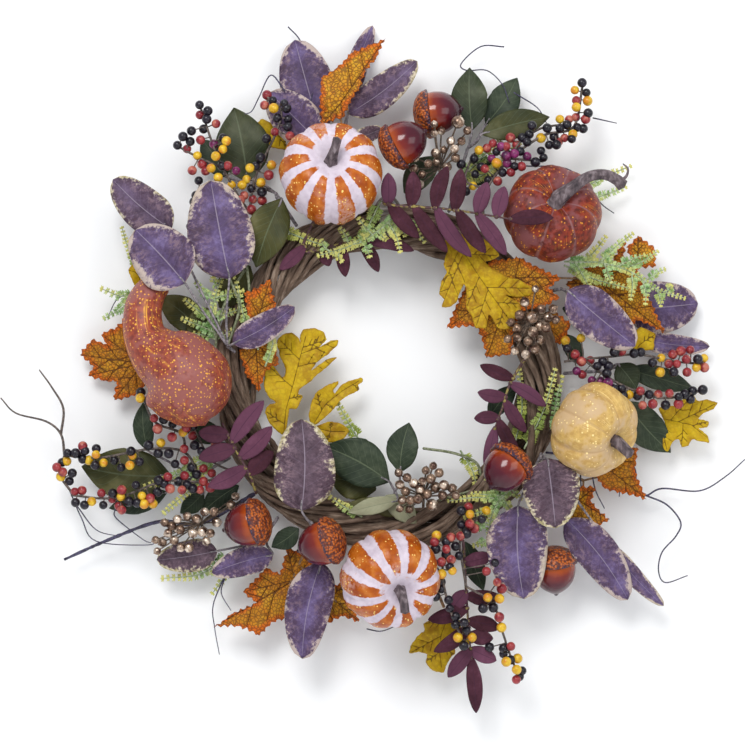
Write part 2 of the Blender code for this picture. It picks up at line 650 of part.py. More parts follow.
FRONDS = (
    ("frond_top", ((-4, 150, 46), (2, 146, 62), (50, 142, 72), (104, 132, 95)), 15,
     ((0.10, (0, 173, 64)), (0.12, (26, 118, 64)), (0.28, (21, 174, 68)), (0.30, (50, 106, 66)),
      (0.44, (50, 178, 72)), (0.45, (70, 102, 68)), (0.58, (61, 176, 74)), (0.60, (82, 105, 72)),
      (0.74, (83, 164, 80)), (0.74, (99, 103, 78)), (0.88, (97, 160, 86)), (0.98, (137, 133, 101))),
     ("burgundy_pumpkin",)),
    ("frond_inner_top", ((-62, 136, 46), (-72, 108, 47), (-44, 113, 48), (-16, 117, 48)), 13,
     ((0.30, (-92, 92, 47)), (0.55, (-50, 95, 48)), (0.72, (-36, 86, 48)), (0.92, (-8, 90, 48)),
      (0.98, (22, 108, 48))), ()),
    ("frond_inner_right", ((122, 26, 46), (104, -4, 50), (97, -25, 52), (90, -44, 52)), 13,
     ((0.40, (78, 11, 50)), (0.46, (134, -24, 50)), (0.62, (76, -12, 50)), (0.66, (117, -46, 52)),
      (0.86, (73, -34, 52)), (0.88, (111, -66, 54)), (0.98, (84, -82, 54))), ()),
    ("frond_left", ((-112, -98, 46), (-117, -82, 56), (-128, -62, 58), (-140, -38, 60)), 17,
     ((0.30, (-97, -62, 56)), (0.38, (-152, -92, 56)), (0.52, (-98, -41, 56)), (0.66, (-160, -68, 58)),
      (0.74, (-105, -19, 58)), (0.84, (-160, -46, 60))), ()),
    ("frond_bottom", ((64, -138, 46), (66, -176, 50), (68, -206, 50), (71, -240, 46)), 15,
     ((0.18, (88, -150, 50)), (0.42, (54, -196, 50)), (0.46, (96, -186, 50)), (0.56, (34, -205, 50)),
      (0.66, (95, -212, 50)), (0.72, (39, -232, 50)), (0.78, (89, -221, 50)), (0.90, (51, -254, 46)),
      (0.90, (92, -240, 46)), (0.98, (75, -285, 40))), ()),
)


def along_route(route, share):
    """The point a share of the way along a route of straight runs."""
    spans = [(route[i + 1] - route[i]).length for i in range(len(route) - 1)]
    left = share * sum(spans)
    for index, span in enumerate(spans):
        if left <= span or index == len(spans) - 1:
            return route[index].lerp(route[index + 1], min(left / span, 1))
        left -= span


def fronds():
    paint = material("burgundy_frond", (0.13, 0.03, 0.06), 0.7)
    for name, stem, width, leaflets, over in FRONDS:
        carried = carry(stem[0], False, over)
        route = stem_points(stem, carried)
        shells = [tube(route, PETIOLE_RADIUS, 4)]
        for share, tip in leaflets:
            base = along_route(route, share)
            shells.append(leaf_shell(base, world(tip, carried), width * MM))
        fused(name, ball(route[0], 1.7 * PETIOLE_RADIUS), shells, paint)


# Berries: arms through plan points, a berry every so many millimetres, then bare tendrils

BERRY_STEP = 21
BERRIES = (
    ("berry_spray_upper_left",
     (((-92, 121, 44), (-118, 142, 42), (-140, 178, 46), (-150, 202, 44), (-160, 232, 40)),
      ((-140, 178, 46), (-162, 188, 44), (-180, 198, 42)),
      ((-118, 142, 42), (-112, 172, 46), (-96, 206, 46), (-91, 228, 44), (-105, 241, 42))), ()),
    ("berry_spray_left",
     (((-128, -81, 44), (-160, -88, 40), (-192, -88, 44), (-232, -102, 40), (-270, -100, 36)),
      ((-160, -88, 40), (-172, -64, 40), (-200, -60, 46), (-246, -68, 40), (-276, -66, 34)),
      ((-172, -64, 40), (-176, -47, 46), (-198, -37, 48))),
     (((-276, -66, 34), (-279, -48, 34), (-292, -37, 32), (-318, -30, 30), (-331, -17, 30)),
      ((-279, -48, 34), (-277, -26, 34), (-287, -8, 32), (-298, 7, 30)))),
    ("berry_spray_upper_right",
     (((80, 130, 46), (84, 160, 50), (104, 186, 50), (132, 206, 46), (158, 214, 42), (166, 250, 38)),
      ((84, 160, 50), (66, 168, 50), (72, 190, 46)), ((104, 186, 50), (132, 184, 46))), ()),
    ("berry_spray_right",
     (((150, 14, 42), (166, 16, 46), (188, 18, 46), (214, 20, 42), (246, 14, 36), (270, 12, 32)),
      ((166, 16, 46), (184, 2, 52), (208, -10, 46), (236, -17, 42), (270, -10, 36))), ()),
    ("berry_spray_bottom",
     (((60, -140, 60), (50, -140, 62), (52, -176, 64), (56, -204, 62), (63, -222, 58)),
      ((60, -140, 60), (70, -122, 58))), ()),
)
BRONZE = (
    ("bronze_berries_top", (42, 146, 44), (44, 178, 50),
     ((36, 186, 66), (43, 199, 66), (62, 208, 58), (52, 194, 52), (60, 180, 48), (34, 170, 52),
      (24, 164, 54)), ()),
    ("bronze_berries_right", (116, 56, 48), (120, 48, 60),
     ((104, 44, 62), (116, 64, 62), (124, 76, 56), (122, 50, 66), (134, 58, 60), (136, 42, 60),
      (118, 32, 62), (106, 26, 60), (130, 26, 56)), ()),
    ("bronze_berries_inner_bottom", (30, -110, 46), (30, -100, 54),
     ((8, -84, 58), (12, -98, 58), (18, -110, 56), (36, -76, 56), (42, -88, 58), (34, -96, 62),
      (38, -106, 58), (52, -96, 54), (24, -90, 58)), ()),
    ("bronze_berries_lower_left", (-114, -99, 32), (-160, -124, 34),
     ((-152, -116, 38), (-150, -130, 38), (-164, -142, 40), (-176, -122, 38), (-186, -128, 36),
      (-190, -140, 34), (-172, -134, 40), (-198, -148, 32)),
     ((-196, -123, 26), (-278, -156, 16))),
)


def beaded(name, paint, arms, beads, radius, tendrils=()):
    """Stems with balls on them, and thin bare ends, joined into one body."""
    shells = [tube(arm, PETIOLE_RADIUS, 4) for arm in arms]
    shells += [tube(tendril, TENDRIL_RADIUS, 4) for tendril in tendrils]
    shells += [ball(bead, radius) for bead in beads]
    fused(name, ball(arms[0][0], 1.7 * PETIOLE_RADIUS), shells, paint)


def berries():
    paint = material("berry", (0.05, 0.03, 0.06), 0.25)
    for name, arms, tendrils in BERRIES:
        carried = carry(arms[0][0])
        routes = [stem_points(arm, carried) for arm in arms]
        beads = []
        for index, route in enumerate(routes):
            length = sum((route[i + 1] - route[i]).length for i in range(len(route) - 1))
            count = max(2, int(length / (BERRY_STEP * MM)))
            first = 1 if index else 2
            beads += [along_route(route, k / count) for k in range(first, count + 1)]
        bare = [stem_points(tendril, carried) for tendril in tendrils]
        beaded(name, paint, routes, beads, BERRY_RADIUS, bare)


def bronze_berries():
    paint = material("bronze_berry", (0.45, 0.33, 0.24), 0.3, 0.6)
    for name, foot, hub, beads, twig in BRONZE:
        carried = carry(foot)
        centre = world(hub, carried)
        arms = [[world(foot, carried), centre]]
        places = [world(bead, carried) for bead in beads]
        arms += [[centre, place] for place in places]
        if twig:
            arms.append([centre] + stem_points(twig, carried))
        beaded(name, paint, arms, places, BRONZE_BERRY_RADIUS)


# Cedar: each spray is a flat fan of feathery tips

CEDAR = (
    ("cedar_spray_top", ((-14, 148, 46), (-14, 144, 50)), (-12, 134, 53),
     ((4, 150), (8, 136), (30, 116), (14, 122), (10, 108), (-2, 120), (-16, 106), (-22, 122), (-42, 102),
      (-38, 122), (-56, 120), (-36, 132), (-22, 140)), False),
    ("cedar_spray_left", ((-150, 45, 38), (-153, 50, 40)), (-154, 58, 42),
     ((-132, 84), (-146, 76), (-156, 86), (-164, 74), (-178, 76), (-172, 62), (-184, 54), (-168, 50),
      (-160, 36), (-150, 46), (-136, 36), (-138, 54), (-126, 66)), False),
    ("cedar_spray_right", ((149, 96, 34), (168, 97, 46)), (200, 92, 48),
     ((178, 118), (194, 106), (206, 122), (208, 104), (228, 108), (220, 94), (233, 91), (218, 86), (250, 71),
      (224, 69), (206, 68), (196, 80), (176, 70), (178, 88)), False),
    ("cedar_spray_bottom", ((96, -94, 44), (94, -100, 46)), (90, -112, 47),
     ((112, -98), (110, -110), (98, -112), (96, -130), (94, -150), (86, -134), (76, -142), (66, -142),
      (76, -124), (66, -120), (48, -104), (72, -100), (84, -86), (92, -94)), False),
)


def cedar_sprays():
    paint = material("cedar", (0.32, 0.45, 0.26), 0.7)
    for name, stem, centre, outline, inside in CEDAR:
        lobed_pick(name, paint, stem, ((centre, outline),), inside)


TENDRIL_ROUTE = ((136, -64, 16), (205, -72, 14), (214, -92, 14), (222, -101, 14), (236, -95, 15),
                 (268, -97, 16), (290, -85, 16), (307, -70, 16))
TENDRIL_CURL = ((222, -101, 14), (240, -109, 14), (252, -124, 14), (248, -136, 14), (236, -150, 14),
                (233, -166, 14), (239, -176, 14), (258, -170, 14))


def tendril():
    paint = material("tendril", (0.10, 0.08, 0.25), 0.6)
    carried = carry(TENDRIL_ROUTE[0])
    arms = [stem_points(TENDRIL_ROUTE, carried), stem_points(TENDRIL_CURL, carried)]
    shells = [tube(arm, TENDRIL_RADIUS, 4) for arm in arms]
    fused("tendril_right", ball(arms[1][0], 1.7 * TENDRIL_RADIUS), shells, paint)


def main():
    clear_scene()
    vine_bundles()
    hanger()
    gourds()
    acorns()
    leaf_picks()
    lobed_picks()
    fronds()
    berries()
    bronze_berries()
    cedar_sprays()
    tendril()


main()
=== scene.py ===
"""The looks of the harvest door wreath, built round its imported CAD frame.

Plan coordinates are millimetres, (across, up, depth), from the centre of the ring, with depth
measured forward from the door, as in the CAD model. place() turns them into the row frame.
"""

import json
import math
import random

import bpy
import numpy as np
from mathutils import Matrix, Vector
from mathutils.geometry import delaunay_2d_cdt


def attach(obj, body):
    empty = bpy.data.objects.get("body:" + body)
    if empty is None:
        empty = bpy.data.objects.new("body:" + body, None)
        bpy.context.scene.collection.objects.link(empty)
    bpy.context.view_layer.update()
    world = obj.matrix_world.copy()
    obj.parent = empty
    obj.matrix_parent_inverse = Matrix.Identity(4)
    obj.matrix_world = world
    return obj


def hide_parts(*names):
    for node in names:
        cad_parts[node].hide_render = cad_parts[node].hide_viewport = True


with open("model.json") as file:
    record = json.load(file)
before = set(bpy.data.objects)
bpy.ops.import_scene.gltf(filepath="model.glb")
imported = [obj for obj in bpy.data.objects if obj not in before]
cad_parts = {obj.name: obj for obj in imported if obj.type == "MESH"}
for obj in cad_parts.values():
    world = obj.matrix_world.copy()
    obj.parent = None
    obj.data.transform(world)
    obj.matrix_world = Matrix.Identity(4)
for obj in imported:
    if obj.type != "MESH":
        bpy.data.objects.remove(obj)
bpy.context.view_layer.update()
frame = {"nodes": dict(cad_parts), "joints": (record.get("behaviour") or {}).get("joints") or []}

MM = 0.001
RING_RADIUS = 0.130
HINGE_DEPTH = 0.0036
HINGE = Vector(frame["joints"][0]["pos_m"])
RING_CENTRE = HINGE - Vector((0, 0, RING_RADIUS))
FRONT = Vector((0, -1, 0))
UP = Vector((0, 0, 1))
BUNDLE_RADIUS = 0.018
BUNDLE_DEPTH = 25.7
# The upper end of the random phases, in radians
ANY_PHASE = 6.3


def place(across, up, depth):
    """A plan point in the row frame."""
    return RING_CENTRE + Vector((across * MM, HINGE_DEPTH - depth * MM, up * MM))


def places(points):
    """Plan points in the row frame."""
    return [place(*point) for point in points]


# Shader nodes

COAT_ROUGHNESS = 0.12


class Shader:
    """A Principled material whose sockets are fed by short chains of nodes."""

    def __init__(self, name, roughness=0.6, metallic=0.0, specular=0.5, coat=0.0):
        self.material = bpy.data.materials.new(name)
        self.material.use_nodes = True
        self.tree = self.material.node_tree
        self.principled = self.tree.nodes["Principled BSDF"]
        for socket, value in (("Roughness", roughness), ("Metallic", metallic),
                              ("Specular IOR Level", specular), ("Coat Weight", coat),
                              ("Coat Roughness", COAT_ROUGHNESS)):
            self.principled.inputs[socket].default_value = value

    def node(self, kind, feeds=(), **settings):
        made = self.tree.nodes.new("ShaderNode" + kind)
        for key, value in settings.items():
            setattr(made, key, value)
        for key, value in dict(feeds).items():
            self.feed(made.inputs[key], value)
        return made

    def feed(self, socket, value):
        if isinstance(value, bpy.types.NodeSocket):
            self.tree.links.new(value, socket)
        elif isinstance(value, tuple) and len(value) == 3 and len(socket.default_value) == 4:
            socket.default_value = (*value, 1)
        else:
            socket.default_value = value

    def to(self, name, value):
        self.feed(self.principled.inputs[name], value)

    def position(self):
        return self.node("TexCoord").outputs["Object"]

    def attribute_vector(self, name):
        return self.node("Attribute", attribute_name=name).outputs["Vector"]

    def attribute(self, name, part):
        """One part of a vector that the vertices hold."""
        return self.node("SeparateXYZ", {0: self.attribute_vector(name)}).outputs[part]

    def maths(self, operation, first, second=0.0, third=0.0):
        return self.node("Math", {0: first, 1: second, 2: third}, operation=operation).outputs[0]

    def times(self, first, second):
        return self.maths("MULTIPLY", first, second)

    def plus(self, first, second):
        return self.maths("ADD", first, second)

    def minus(self, first, second):
        return self.maths("SUBTRACT", first, second)

    def scaled(self, value, factor, more):
        """value * factor + more"""
        return self.maths("MULTIPLY_ADD", value, factor, more)

    def shared(self, first, share, second):
        """Two patterns weighed together: this share of the first, and the rest of the second."""
        return self.scaled(first, share, self.times(second, 1 - share))

    def ragged(self, value, pattern, amount):
        """The value pushed up and down by a pattern that is about 0.5 on average."""
        return self.scaled(self.minus(pattern, 0.5), amount, value)

    def stretched(self, vector, factors):
        return self.node("Mapping", {"Vector": vector, "Scale": factors}).outputs[0]

    def noise(self, scale, detail=3.0, vector=None, rough=0.55, bend=0.0):
        vector = vector or self.position()
        feeds = {"Vector": vector, "Scale": scale, "Detail": detail, "Roughness": rough, "Distortion": bend}
        return self.node("TexNoise", feeds).outputs["Fac"]

    def cells(self, scale, feature="F1"):
        feeds = {"Vector": self.position(), "Scale": scale}
        return self.node("TexVoronoi", feeds, feature=feature)

    def step(self, value, low, high):
        """0 below low, 1 above high, smooth between; low above high falls instead."""
        made = self.node("MapRange", {"Value": value, "From Min": min(low, high), "From Max": max(low, high)})
        made.interpolation_type = "SMOOTHSTEP"
        if low > high:
            return self.minus(1.0, made.outputs[0])
        return made.outputs[0]

    def mix(self, share, first, second):
        made = self.node("Mix", data_type="RGBA")
        self.feed(made.inputs["Factor"], share)
        self.feed(made.inputs[6], first)
        self.feed(made.inputs[7], second)
        return made.outputs[2]

    def glaze(self, under, share, strength, colour):
        """A colour laid over another where share is high, at most at this strength."""
        return self.mix(self.times(share, strength), under, colour)

    def ramp(self, value, stops):
        made = self.node("ValToRGB", {"Fac": value})
        bar = made.color_ramp.elements
        while len(bar) < len(stops):
            bar.new(0.5)
        for element, (at, colour) in zip(bar, stops):
            element.position = at
            element.color = (*colour, 1)
        return made.outputs["Color"]

    def bump(self, height, strength=0.3, distance=0.001):
        feeds = {"Height": height, "Strength": strength, "Distance": distance}
        self.to("Normal", self.node("Bump", feeds).outputs[0])


# Meshes

def make_object(name, verts, faces, paints, face_paints=None):
    """A smooth piece that rides on the wreath."""
    mesh = bpy.data.meshes.new(name)
    mesh.from_pydata([tuple(v) for v in verts], [], faces)
    for paint in paints:
        mesh.materials.append(paint)
    if face_paints is not None:
        mesh.polygons.foreach_set("material_index", face_paints)
    mesh.shade_smooth()
    made = bpy.data.objects.new(name, mesh)
    bpy.context.scene.collection.objects.link(made)
    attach(made, "root")
    return made


def vertex_values(made, name, values):
    """Stores one vector for each vertex, for a material to read."""
    kept = made.data.attributes.new(name, "FLOAT_VECTOR", "POINT")
    kept.data.foreach_set("vector", np.array(values, np.float32).ravel())


def smooth_route(points, steps):
    """A Catmull-Rom curve through the points, with this many steps between each two."""
    ends = [2 * points[0] - points[1], *points, 2 * points[-1] - points[-2]]
    route = []
    for index in range(len(points) - 1):
        a, b, c, d = ends[index:index + 4]
        for step in range(steps):
            t = step / steps
            route.append(0.5 * (2 * b + (c - a) * t + (2 * a - 5 * b + 4 * c - d) * t * t
                                + (3 * b - 3 * c + d - a) * t ** 3))
    route.append(points[-1])
    return route


def turns(sides):
    """The angle of each side, once round."""
    return [2 * math.pi * side / sides for side in range(sides)]


def grid_faces(rows, sides, seam=True):
    """Quads between each row of points and the next; with a seam, the last column joins the first."""
    quads = []
    for row in range(rows):
        for side in range(sides if seam else sides - 1):
            near, far, other = row * sides, (row + 1) * sides, (side + 1) % sides
            quads.append((near + side, near + other, far + other, far + side))
    return quads


def tube_mesh(route, radii, sides=8, ridges=0, ridge_depth=0.0, twist=0.0):
    """(verts, faces) of a round bar, with optional lengthwise ridges; its ends are rounded off."""
    count = len(route)
    radii = [float(r) for r in radii] if hasattr(radii, "__len__") else [radii] * count
    first = route[1] - route[0]
    normal = first.cross(UP if abs(first.normalized().z) < 0.9 else FRONT).normalized()
    verts = []
    for index in range(count):
        along = (route[min(index + 1, count - 1)] - route[max(index - 1, 0)]).normalized()
        normal = (normal - along * normal.dot(along)).normalized()
        binormal = along.cross(normal)
        for side in range(sides):
            turn = 2 * math.pi * side / sides + twist * index
            reach = radii[index] * (1 + ridge_depth * math.cos(ridges * 2 * math.pi * side / sides))
            verts.append(route[index] + reach * (math.cos(turn) * normal + math.sin(turn) * binormal))
    faces = grid_faces(count - 1, sides)
    for ring, inner in ((0, 1), (count - 1, count - 2)):
        verts.append(route[ring] + (route[ring] - route[inner]).normalized() * radii[ring] * 0.5)
        hub = len(verts) - 1
        for side in range(sides):
            pair = (ring * sides + (side + 1) % sides, ring * sides + side)
            faces.append((hub, *(pair if ring == 0 else pair[::-1])))
    return verts, faces


def gather(parts):
    """One (verts, faces, part number of each face) from several (verts, faces)."""
    verts, faces, owners = [], [], []
    for number, (more_verts, more_faces) in enumerate(parts):
        start = len(verts)
        verts += more_verts
        faces += [tuple(start + i for i in face) for face in more_faces]
        owners += [number] * len(more_faces)
    return verts, faces, owners


# Materials of the gourds

def flecks(shader, scale, size, share):
    """1 on small specks: one of this size in a share of the cells."""
    cell = shader.cells(scale)
    chance = shader.node("SeparateColor", {0: cell.outputs["Color"]}).outputs[0]
    kept = shader.step(chance, share + 0.02, share - 0.02)
    speck = shader.step(cell.outputs["Distance"], size, size * 0.55)
    return shader.times(kept, speck)


def striped_paint():
    """Chalky lavender white between glossy burnt-orange ribs with gold flecks."""
    shader = Shader("striped_pumpkin_paint", roughness=0.5, specular=0.3)
    rib = shader.attribute("form", 0)
    height = shader.attribute("form", 1)
    ragged = shader.noise(330, 4)
    broad = shader.noise(60, 2)
    edge = shader.plus(shader.times(ragged, 0.34), shader.times(broad, 0.30))
    narrowing = shader.times(shader.step(height, 0.66, 0.98), 0.34)
    stripe = shader.step(shader.minus(shader.plus(rib, edge), narrowing), 0.98, 1.05)
    ragged_top = shader.plus(shader.times(broad, 0.22), shader.times(ragged, 0.10))
    crown = shader.step(shader.plus(height, ragged_top), 0.975, 0.945)
    stripe = shader.times(stripe, crown)
    orange = shader.ramp(shader.noise(90, 4), ((0.32, (0.30, 0.050, 0.003)), (0.52, (0.47, 0.105, 0.004)),
                                              (0.70, (0.62, 0.22, 0.035))))
    wash = shader.times(shader.step(shader.noise(26, 2), 0.52, 0.62), shader.step(ragged, 0.38, 0.56))
    orange = shader.glaze(orange, wash, 0.55, (0.62, 0.36, 0.30))
    gold = shader.maths("MAXIMUM", flecks(shader, 420, 0.34, 0.30), flecks(shader, 210, 0.22, 0.22))
    orange = shader.mix(gold, orange, (0.98, 0.72, 0.20))
    chalk = shader.ramp(shader.noise(140, 5), ((0.3, (0.56, 0.47, 0.55)), (0.6, (0.72, 0.63, 0.71))))
    rub = shader.times(shader.step(shader.noise(230, 5), 0.60, 0.70), shader.step(broad, 0.45, 0.60))
    chalk = shader.glaze(chalk, rub, 0.55, (0.60, 0.34, 0.26))
    shader.to("Base Color", shader.mix(stripe, chalk, orange))
    shader.to("Roughness", shader.scaled(stripe, -0.35, 0.62))
    height = shader.plus(shader.times(stripe, -0.5), shader.noise(500, 5))
    shader.bump(height, 0.35, 0.0008)
    return shader.material


def mottled_paint(name, dusty, warm, dark, gold, speck_share, warm_at, line):
    """Dusty bloom over a warm skin, with gold specks, streaks along the ribs and lines in the grooves."""
    shader = Shader(name, roughness=0.42, specular=0.3)
    rib = shader.attribute("form", 0)
    broad = shader.noise(34, 3, bend=0.4)
    fine = shader.noise(210, 5)
    skin = shader.mix(shader.step(fine, 0.35, 0.62), dark, warm)
    bloom = shader.scaled(fine, 0.35, broad)
    skin = shader.mix(shader.step(bloom, warm_at, warm_at + 0.16), skin, dusty)
    streaks = shader.noise(46, 3, shader.stretched(shader.attribute_vector("form"), (0.8, 0.07, 1.1)))
    streak = shader.times(shader.step(streaks, 0.56, 0.68), shader.step(broad, 0.50, 0.36))
    skin = shader.glaze(skin, streak, 0.85, gold)
    groove = shader.times(shader.step(rib, 0.30, 0.06), shader.step(fine, 0.30, 0.48))
    skin = shader.glaze(skin, groove, 0.50, line)
    specks = shader.maths("MAXIMUM", flecks(shader, 430, 0.36, speck_share * 0.75),
                         flecks(shader, 230, 0.26, speck_share * 0.7))
    shader.to("Base Color", shader.mix(specks, skin, gold))
    shader.to("Roughness", shader.scaled(broad, 0.3, 0.30))
    height = shader.plus(shader.times(specks, 0.6), fine)
    shader.bump(height, 0.3, 0.0007)
    return shader.material


def stem_paint():
    """Dry grey-brown stalks with a grain that runs up them."""
    shader = Shader("gourd_stem_paint", roughness=0.75)
    grain = shader.noise(260, 4, shader.stretched(shader.position(), (1.0, 1.0, 0.35)))
    tone = shader.ramp(grain, ((0.34, (0.035, 0.024, 0.030)), (0.52, (0.120, 0.088, 0.096)),
                               (0.70, (0.27, 0.22, 0.235))))
    shader.to("Base Color", tone)
    shader.bump(grain, 0.8, 0.0012)
    return shader.material


# Gourds

def aim_matrix(axis):
    """Turns a piece made along Z to lie along this axis."""
    return Vector(axis).normalized().to_track_quat("Z", "Y").to_matrix()


PUMPKIN_OUTLINE = (
    (0.0, -0.56), (0.20, -0.66), (0.45, -0.70), (0.72, -0.61), (0.91, -0.40), (0.99, -0.12), (0.98, 0.16),
    (0.88, 0.42), (0.70, 0.60), (0.48, 0.67), (0.28, 0.62), (0.14, 0.55), (0.0, 0.53),
)


RIB_POINTS = 14


def pumpkin_mesh(radius, centre, axis, ribs, depth, lumps, seed):
    """(verts, faces, forms) of a ribbed body; form is (rib crest 0 to 1, height 0 to 1, turn)."""
    outline = smooth_route([Vector((r, 0, h)) for r, h in PUMPKIN_OUTLINE], 4)
    turn_matrix = aim_matrix(axis)
    dice = random.Random(seed)
    swell = [1 + lumps * dice.uniform(-1, 1) for _ in range(ribs)]
    verts, forms = [], []
    for row, point in enumerate(outline):
        share = min(1, 2.5 * point.x)
        for side, turn in enumerate(turns(ribs * RIB_POINTS)):
            crest = abs(math.sin(math.pi * ((side / RIB_POINTS + 0.5) % 1))) ** 0.75
            swollen = depth * share * (swell[side // RIB_POINTS] - 1) * crest * 4
            reach = radius * point.x * (1 - depth * share * (1 - crest) + swollen)
            low = radius * point.z * (1 - 0.25 * depth * (1 - crest) * share)
            verts.append(centre + turn_matrix @ Vector((reach * math.cos(turn), reach * math.sin(turn), low)))
            forms.append((crest, row / (len(outline) - 1), turn / (2 * math.pi)))
    return verts, grid_faces(len(outline) - 1, ribs * RIB_POINTS), forms


def stem_route(centre, axis, radius, stem):
    """(route, radii) of a stem from its (along the axis, across, up, radius) points."""
    axis = Vector(axis).normalized()
    seat = centre + axis * 0.50 * radius
    points = [seat + axis * along * MM + Vector((across, 0, up)) * MM for along, across, up, _ in stem]
    route = smooth_route(points, 5)
    at = np.linspace(0, len(stem) - 1, len(route))
    return route, list(np.interp(at, range(len(stem)), [s[3] * MM for s in stem]))


def pumpkin(name, radius, middle, axis, stem, paint, stem_material, seed,
            ribs=10, depth=0.065, lumps=0.08):
    """A ribbed body and its ridged stalk, flared where it leaves the body."""
    centre = place(*middle)
    verts, faces, forms = pumpkin_mesh(radius, centre, axis, ribs, depth, lumps, seed)
    body = make_object(name + "_skin", verts, faces, [paint])
    vertex_values(body, "form", forms)
    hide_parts(name)
    route, widths = stem_route(centre, axis, radius, stem)
    widths[0] *= 1.35
    widths[1] *= 1.15
    verts, faces = tube_mesh(route, widths, 20, ridges=5, ridge_depth=0.16, twist=0.03)
    stalk = make_object(name + "_stalk", verts, faces, [stem_material])
    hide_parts(name + "_stem")


def gourds():
    """The pumpkins, each with its stem route in mm from its crown, and the crookneck."""
    striped = striped_paint()
    stem_material = stem_paint()
    burgundy = mottled_paint("burgundy_pumpkin_paint", dusty=(0.20, 0.058, 0.060), warm=(0.26, 0.028, 0.008),
                             dark=(0.095, 0.012, 0.009), gold=(0.74, 0.30, 0.02), speck_share=0.26,
                             warm_at=0.645, line=(0.28, 0.16, 0.17))
    tan = mottled_paint("tan_gourd_paint", dusty=(0.60, 0.41, 0.22), warm=(0.66, 0.43, 0.13),
                        dark=(0.52, 0.31, 0.09), gold=(0.95, 0.76, 0.34), speck_share=0.22,
                        warm_at=0.62, line=(0.46, 0.28, 0.12))
    pumpkin("striped_pumpkin_upper", 0.0440, (-48, 172, 74), (0.02, -1, 0.38),
            ((0, 0, 0, 5.6), (4, 0, 0, 5.2), (9, 1, 2, 4.2), (14, 3, 6, 3.4), (17, 5, 12, 3.4)),
            striped, stem_material, seed=3)
    pumpkin("striped_pumpkin_lower", 0.0425, (2, -169, 72), (0.36, -1, -0.36),
            ((0, 0, 0, 5), (4, 0, 0, 4.5), (9, 0, -2, 4), (14, 0, -6, 3.5), (16, 0, -13, 3.5)),
            striped, stem_material, seed=5)
    pumpkin("burgundy_pumpkin", 0.0420, (139, 139, 60), (0.12, -1, 0.45),
            ((0, 0, 0, 8.5), (4, 2, 2, 6.4), (8, 12, 8, 4.8), (10, 25, 16, 4.2), (10, 38, 18, 4.0),
             (8, 48, 15, 4.2), (6, 54, 11, 4.8)),
            burgundy, stem_material, seed=7, ribs=8, lumps=0.06)
    pumpkin("tan_gourd", 0.0400, (174, -44, 66), (0.86, -0.75, -0.45),
            ((0, 0, 0, 5.5), (4, 0, 0, 5), (8, 2, -3, 4.5), (13, 5, -8, 4)),
            tan, stem_material, seed=11, ribs=8, depth=0.085, lumps=0.1)
    hook = smooth_route(places(((194, 164, 85), (199, 169, 87), (200, 175, 87), (196, 179, 86))), 5)
    verts, faces = tube_mesh(hook, np.linspace(0.0016, 0.0005, len(hook)), 8)
    make_object("burgundy_pumpkin_stem_hook", verts, faces, [stem_material])
    crookneck()


# The crookneck from its blossom end to its stem: (across, up, forward) of its middle, and its radius
CROOK_MIDDLE = (-171, 0, 68)
CROOK_ROUTE = (
    (16, -38, 0, 4), (15, -36, 0, 13), (13, -31, 0, 22), (9, -20, 0, 33), (2, -4, 0, 39.5),
    (-8, 10, 0, 33.5), (-23, 21, -2, 24), (-33, 34, -5, 18.3), (-36, 48, -8, 16.4), (-35, 62, -12, 15.8),
    (-29, 74, -16, 13.5), (-20, 81, -19, 10), (-14, 83, -20, 4.5),
)


def crookneck():
    """The long gourd: one tube that swells and bends, with faint ridges."""
    points = [place(*(m + o for m, o in zip(CROOK_MIDDLE, offset))) for *offset, _ in CROOK_ROUTE]
    route = smooth_route(points, 5)
    at = np.linspace(0, len(points) - 1, len(route))
    widths = np.interp(at, range(len(points)), [r * MM for *_, r in CROOK_ROUTE])
    widths = list(np.convolve(np.pad(widths, 2, "edge"), (0.1, 0.2, 0.4, 0.2, 0.1), "valid"))
    sides = 64
    verts, faces = tube_mesh(route, widths, sides, ridges=7, ridge_depth=0.012)
    paint = mottled_paint("crookneck_gourd_paint", dusty=(0.30, 0.095, 0.082), warm=(0.36, 0.068, 0.030),
                          dark=(0.20, 0.038, 0.030), gold=(0.86, 0.42, 0.05), speck_share=0.62,
                          warm_at=0.60, line=(0.24, 0.045, 0.028))
    body = make_object("crookneck_gourd_skin", verts, faces, [paint])
    forms = [(1.0, row / len(route), side / sides) for row in range(len(route)) for side in range(sides)]
    forms += [(1.0, 0, 0), (1.0, 1, 0)]
    vertex_values(body, "form", forms)
    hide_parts("crookneck_gourd")


# Acorns

ACORN_OUTLINE = (
    (0, -1.0), (0.07, -0.97), (0.14, -0.90), (0.36, -0.80), (0.64, -0.62), (0.86, -0.34), (0.96, 0.0),
    (0.96, 0.24), (0.96, 0.30), (1.07, 0.31), (1.09, 0.42), (1.02, 0.58), (0.80, 0.78), (0.45, 0.93),
    (0.22, 0.97), (0.0, 0.98),
)
ACORN_RADIUS = 0.0190
ACORN_HALF_LENGTH = 0.022
ACORN_SIDES = 48
CAP_FROM = 0.65
ACORNS = (
    ("acorn_top_left", (14, 199, 62), (-0.85, 0.15, -0.45)),
    ("acorn_top_right", (43, 226, 40), (-0.95, 0.10, -0.15)),
    ("acorn_inner_right", (98, -77, 77), (0.60, 0.35, 0.70)),
    ("acorn_lower_right", (142, -165, 32), (-0.10, -0.20, 1.0)),
    ("acorn_left", (-120, -124, 52), (0.95, -0.20, 0.25)),
    ("acorn_bottom_left", (-57, -139, 72), (0.85, -0.25, 0.30)),
)


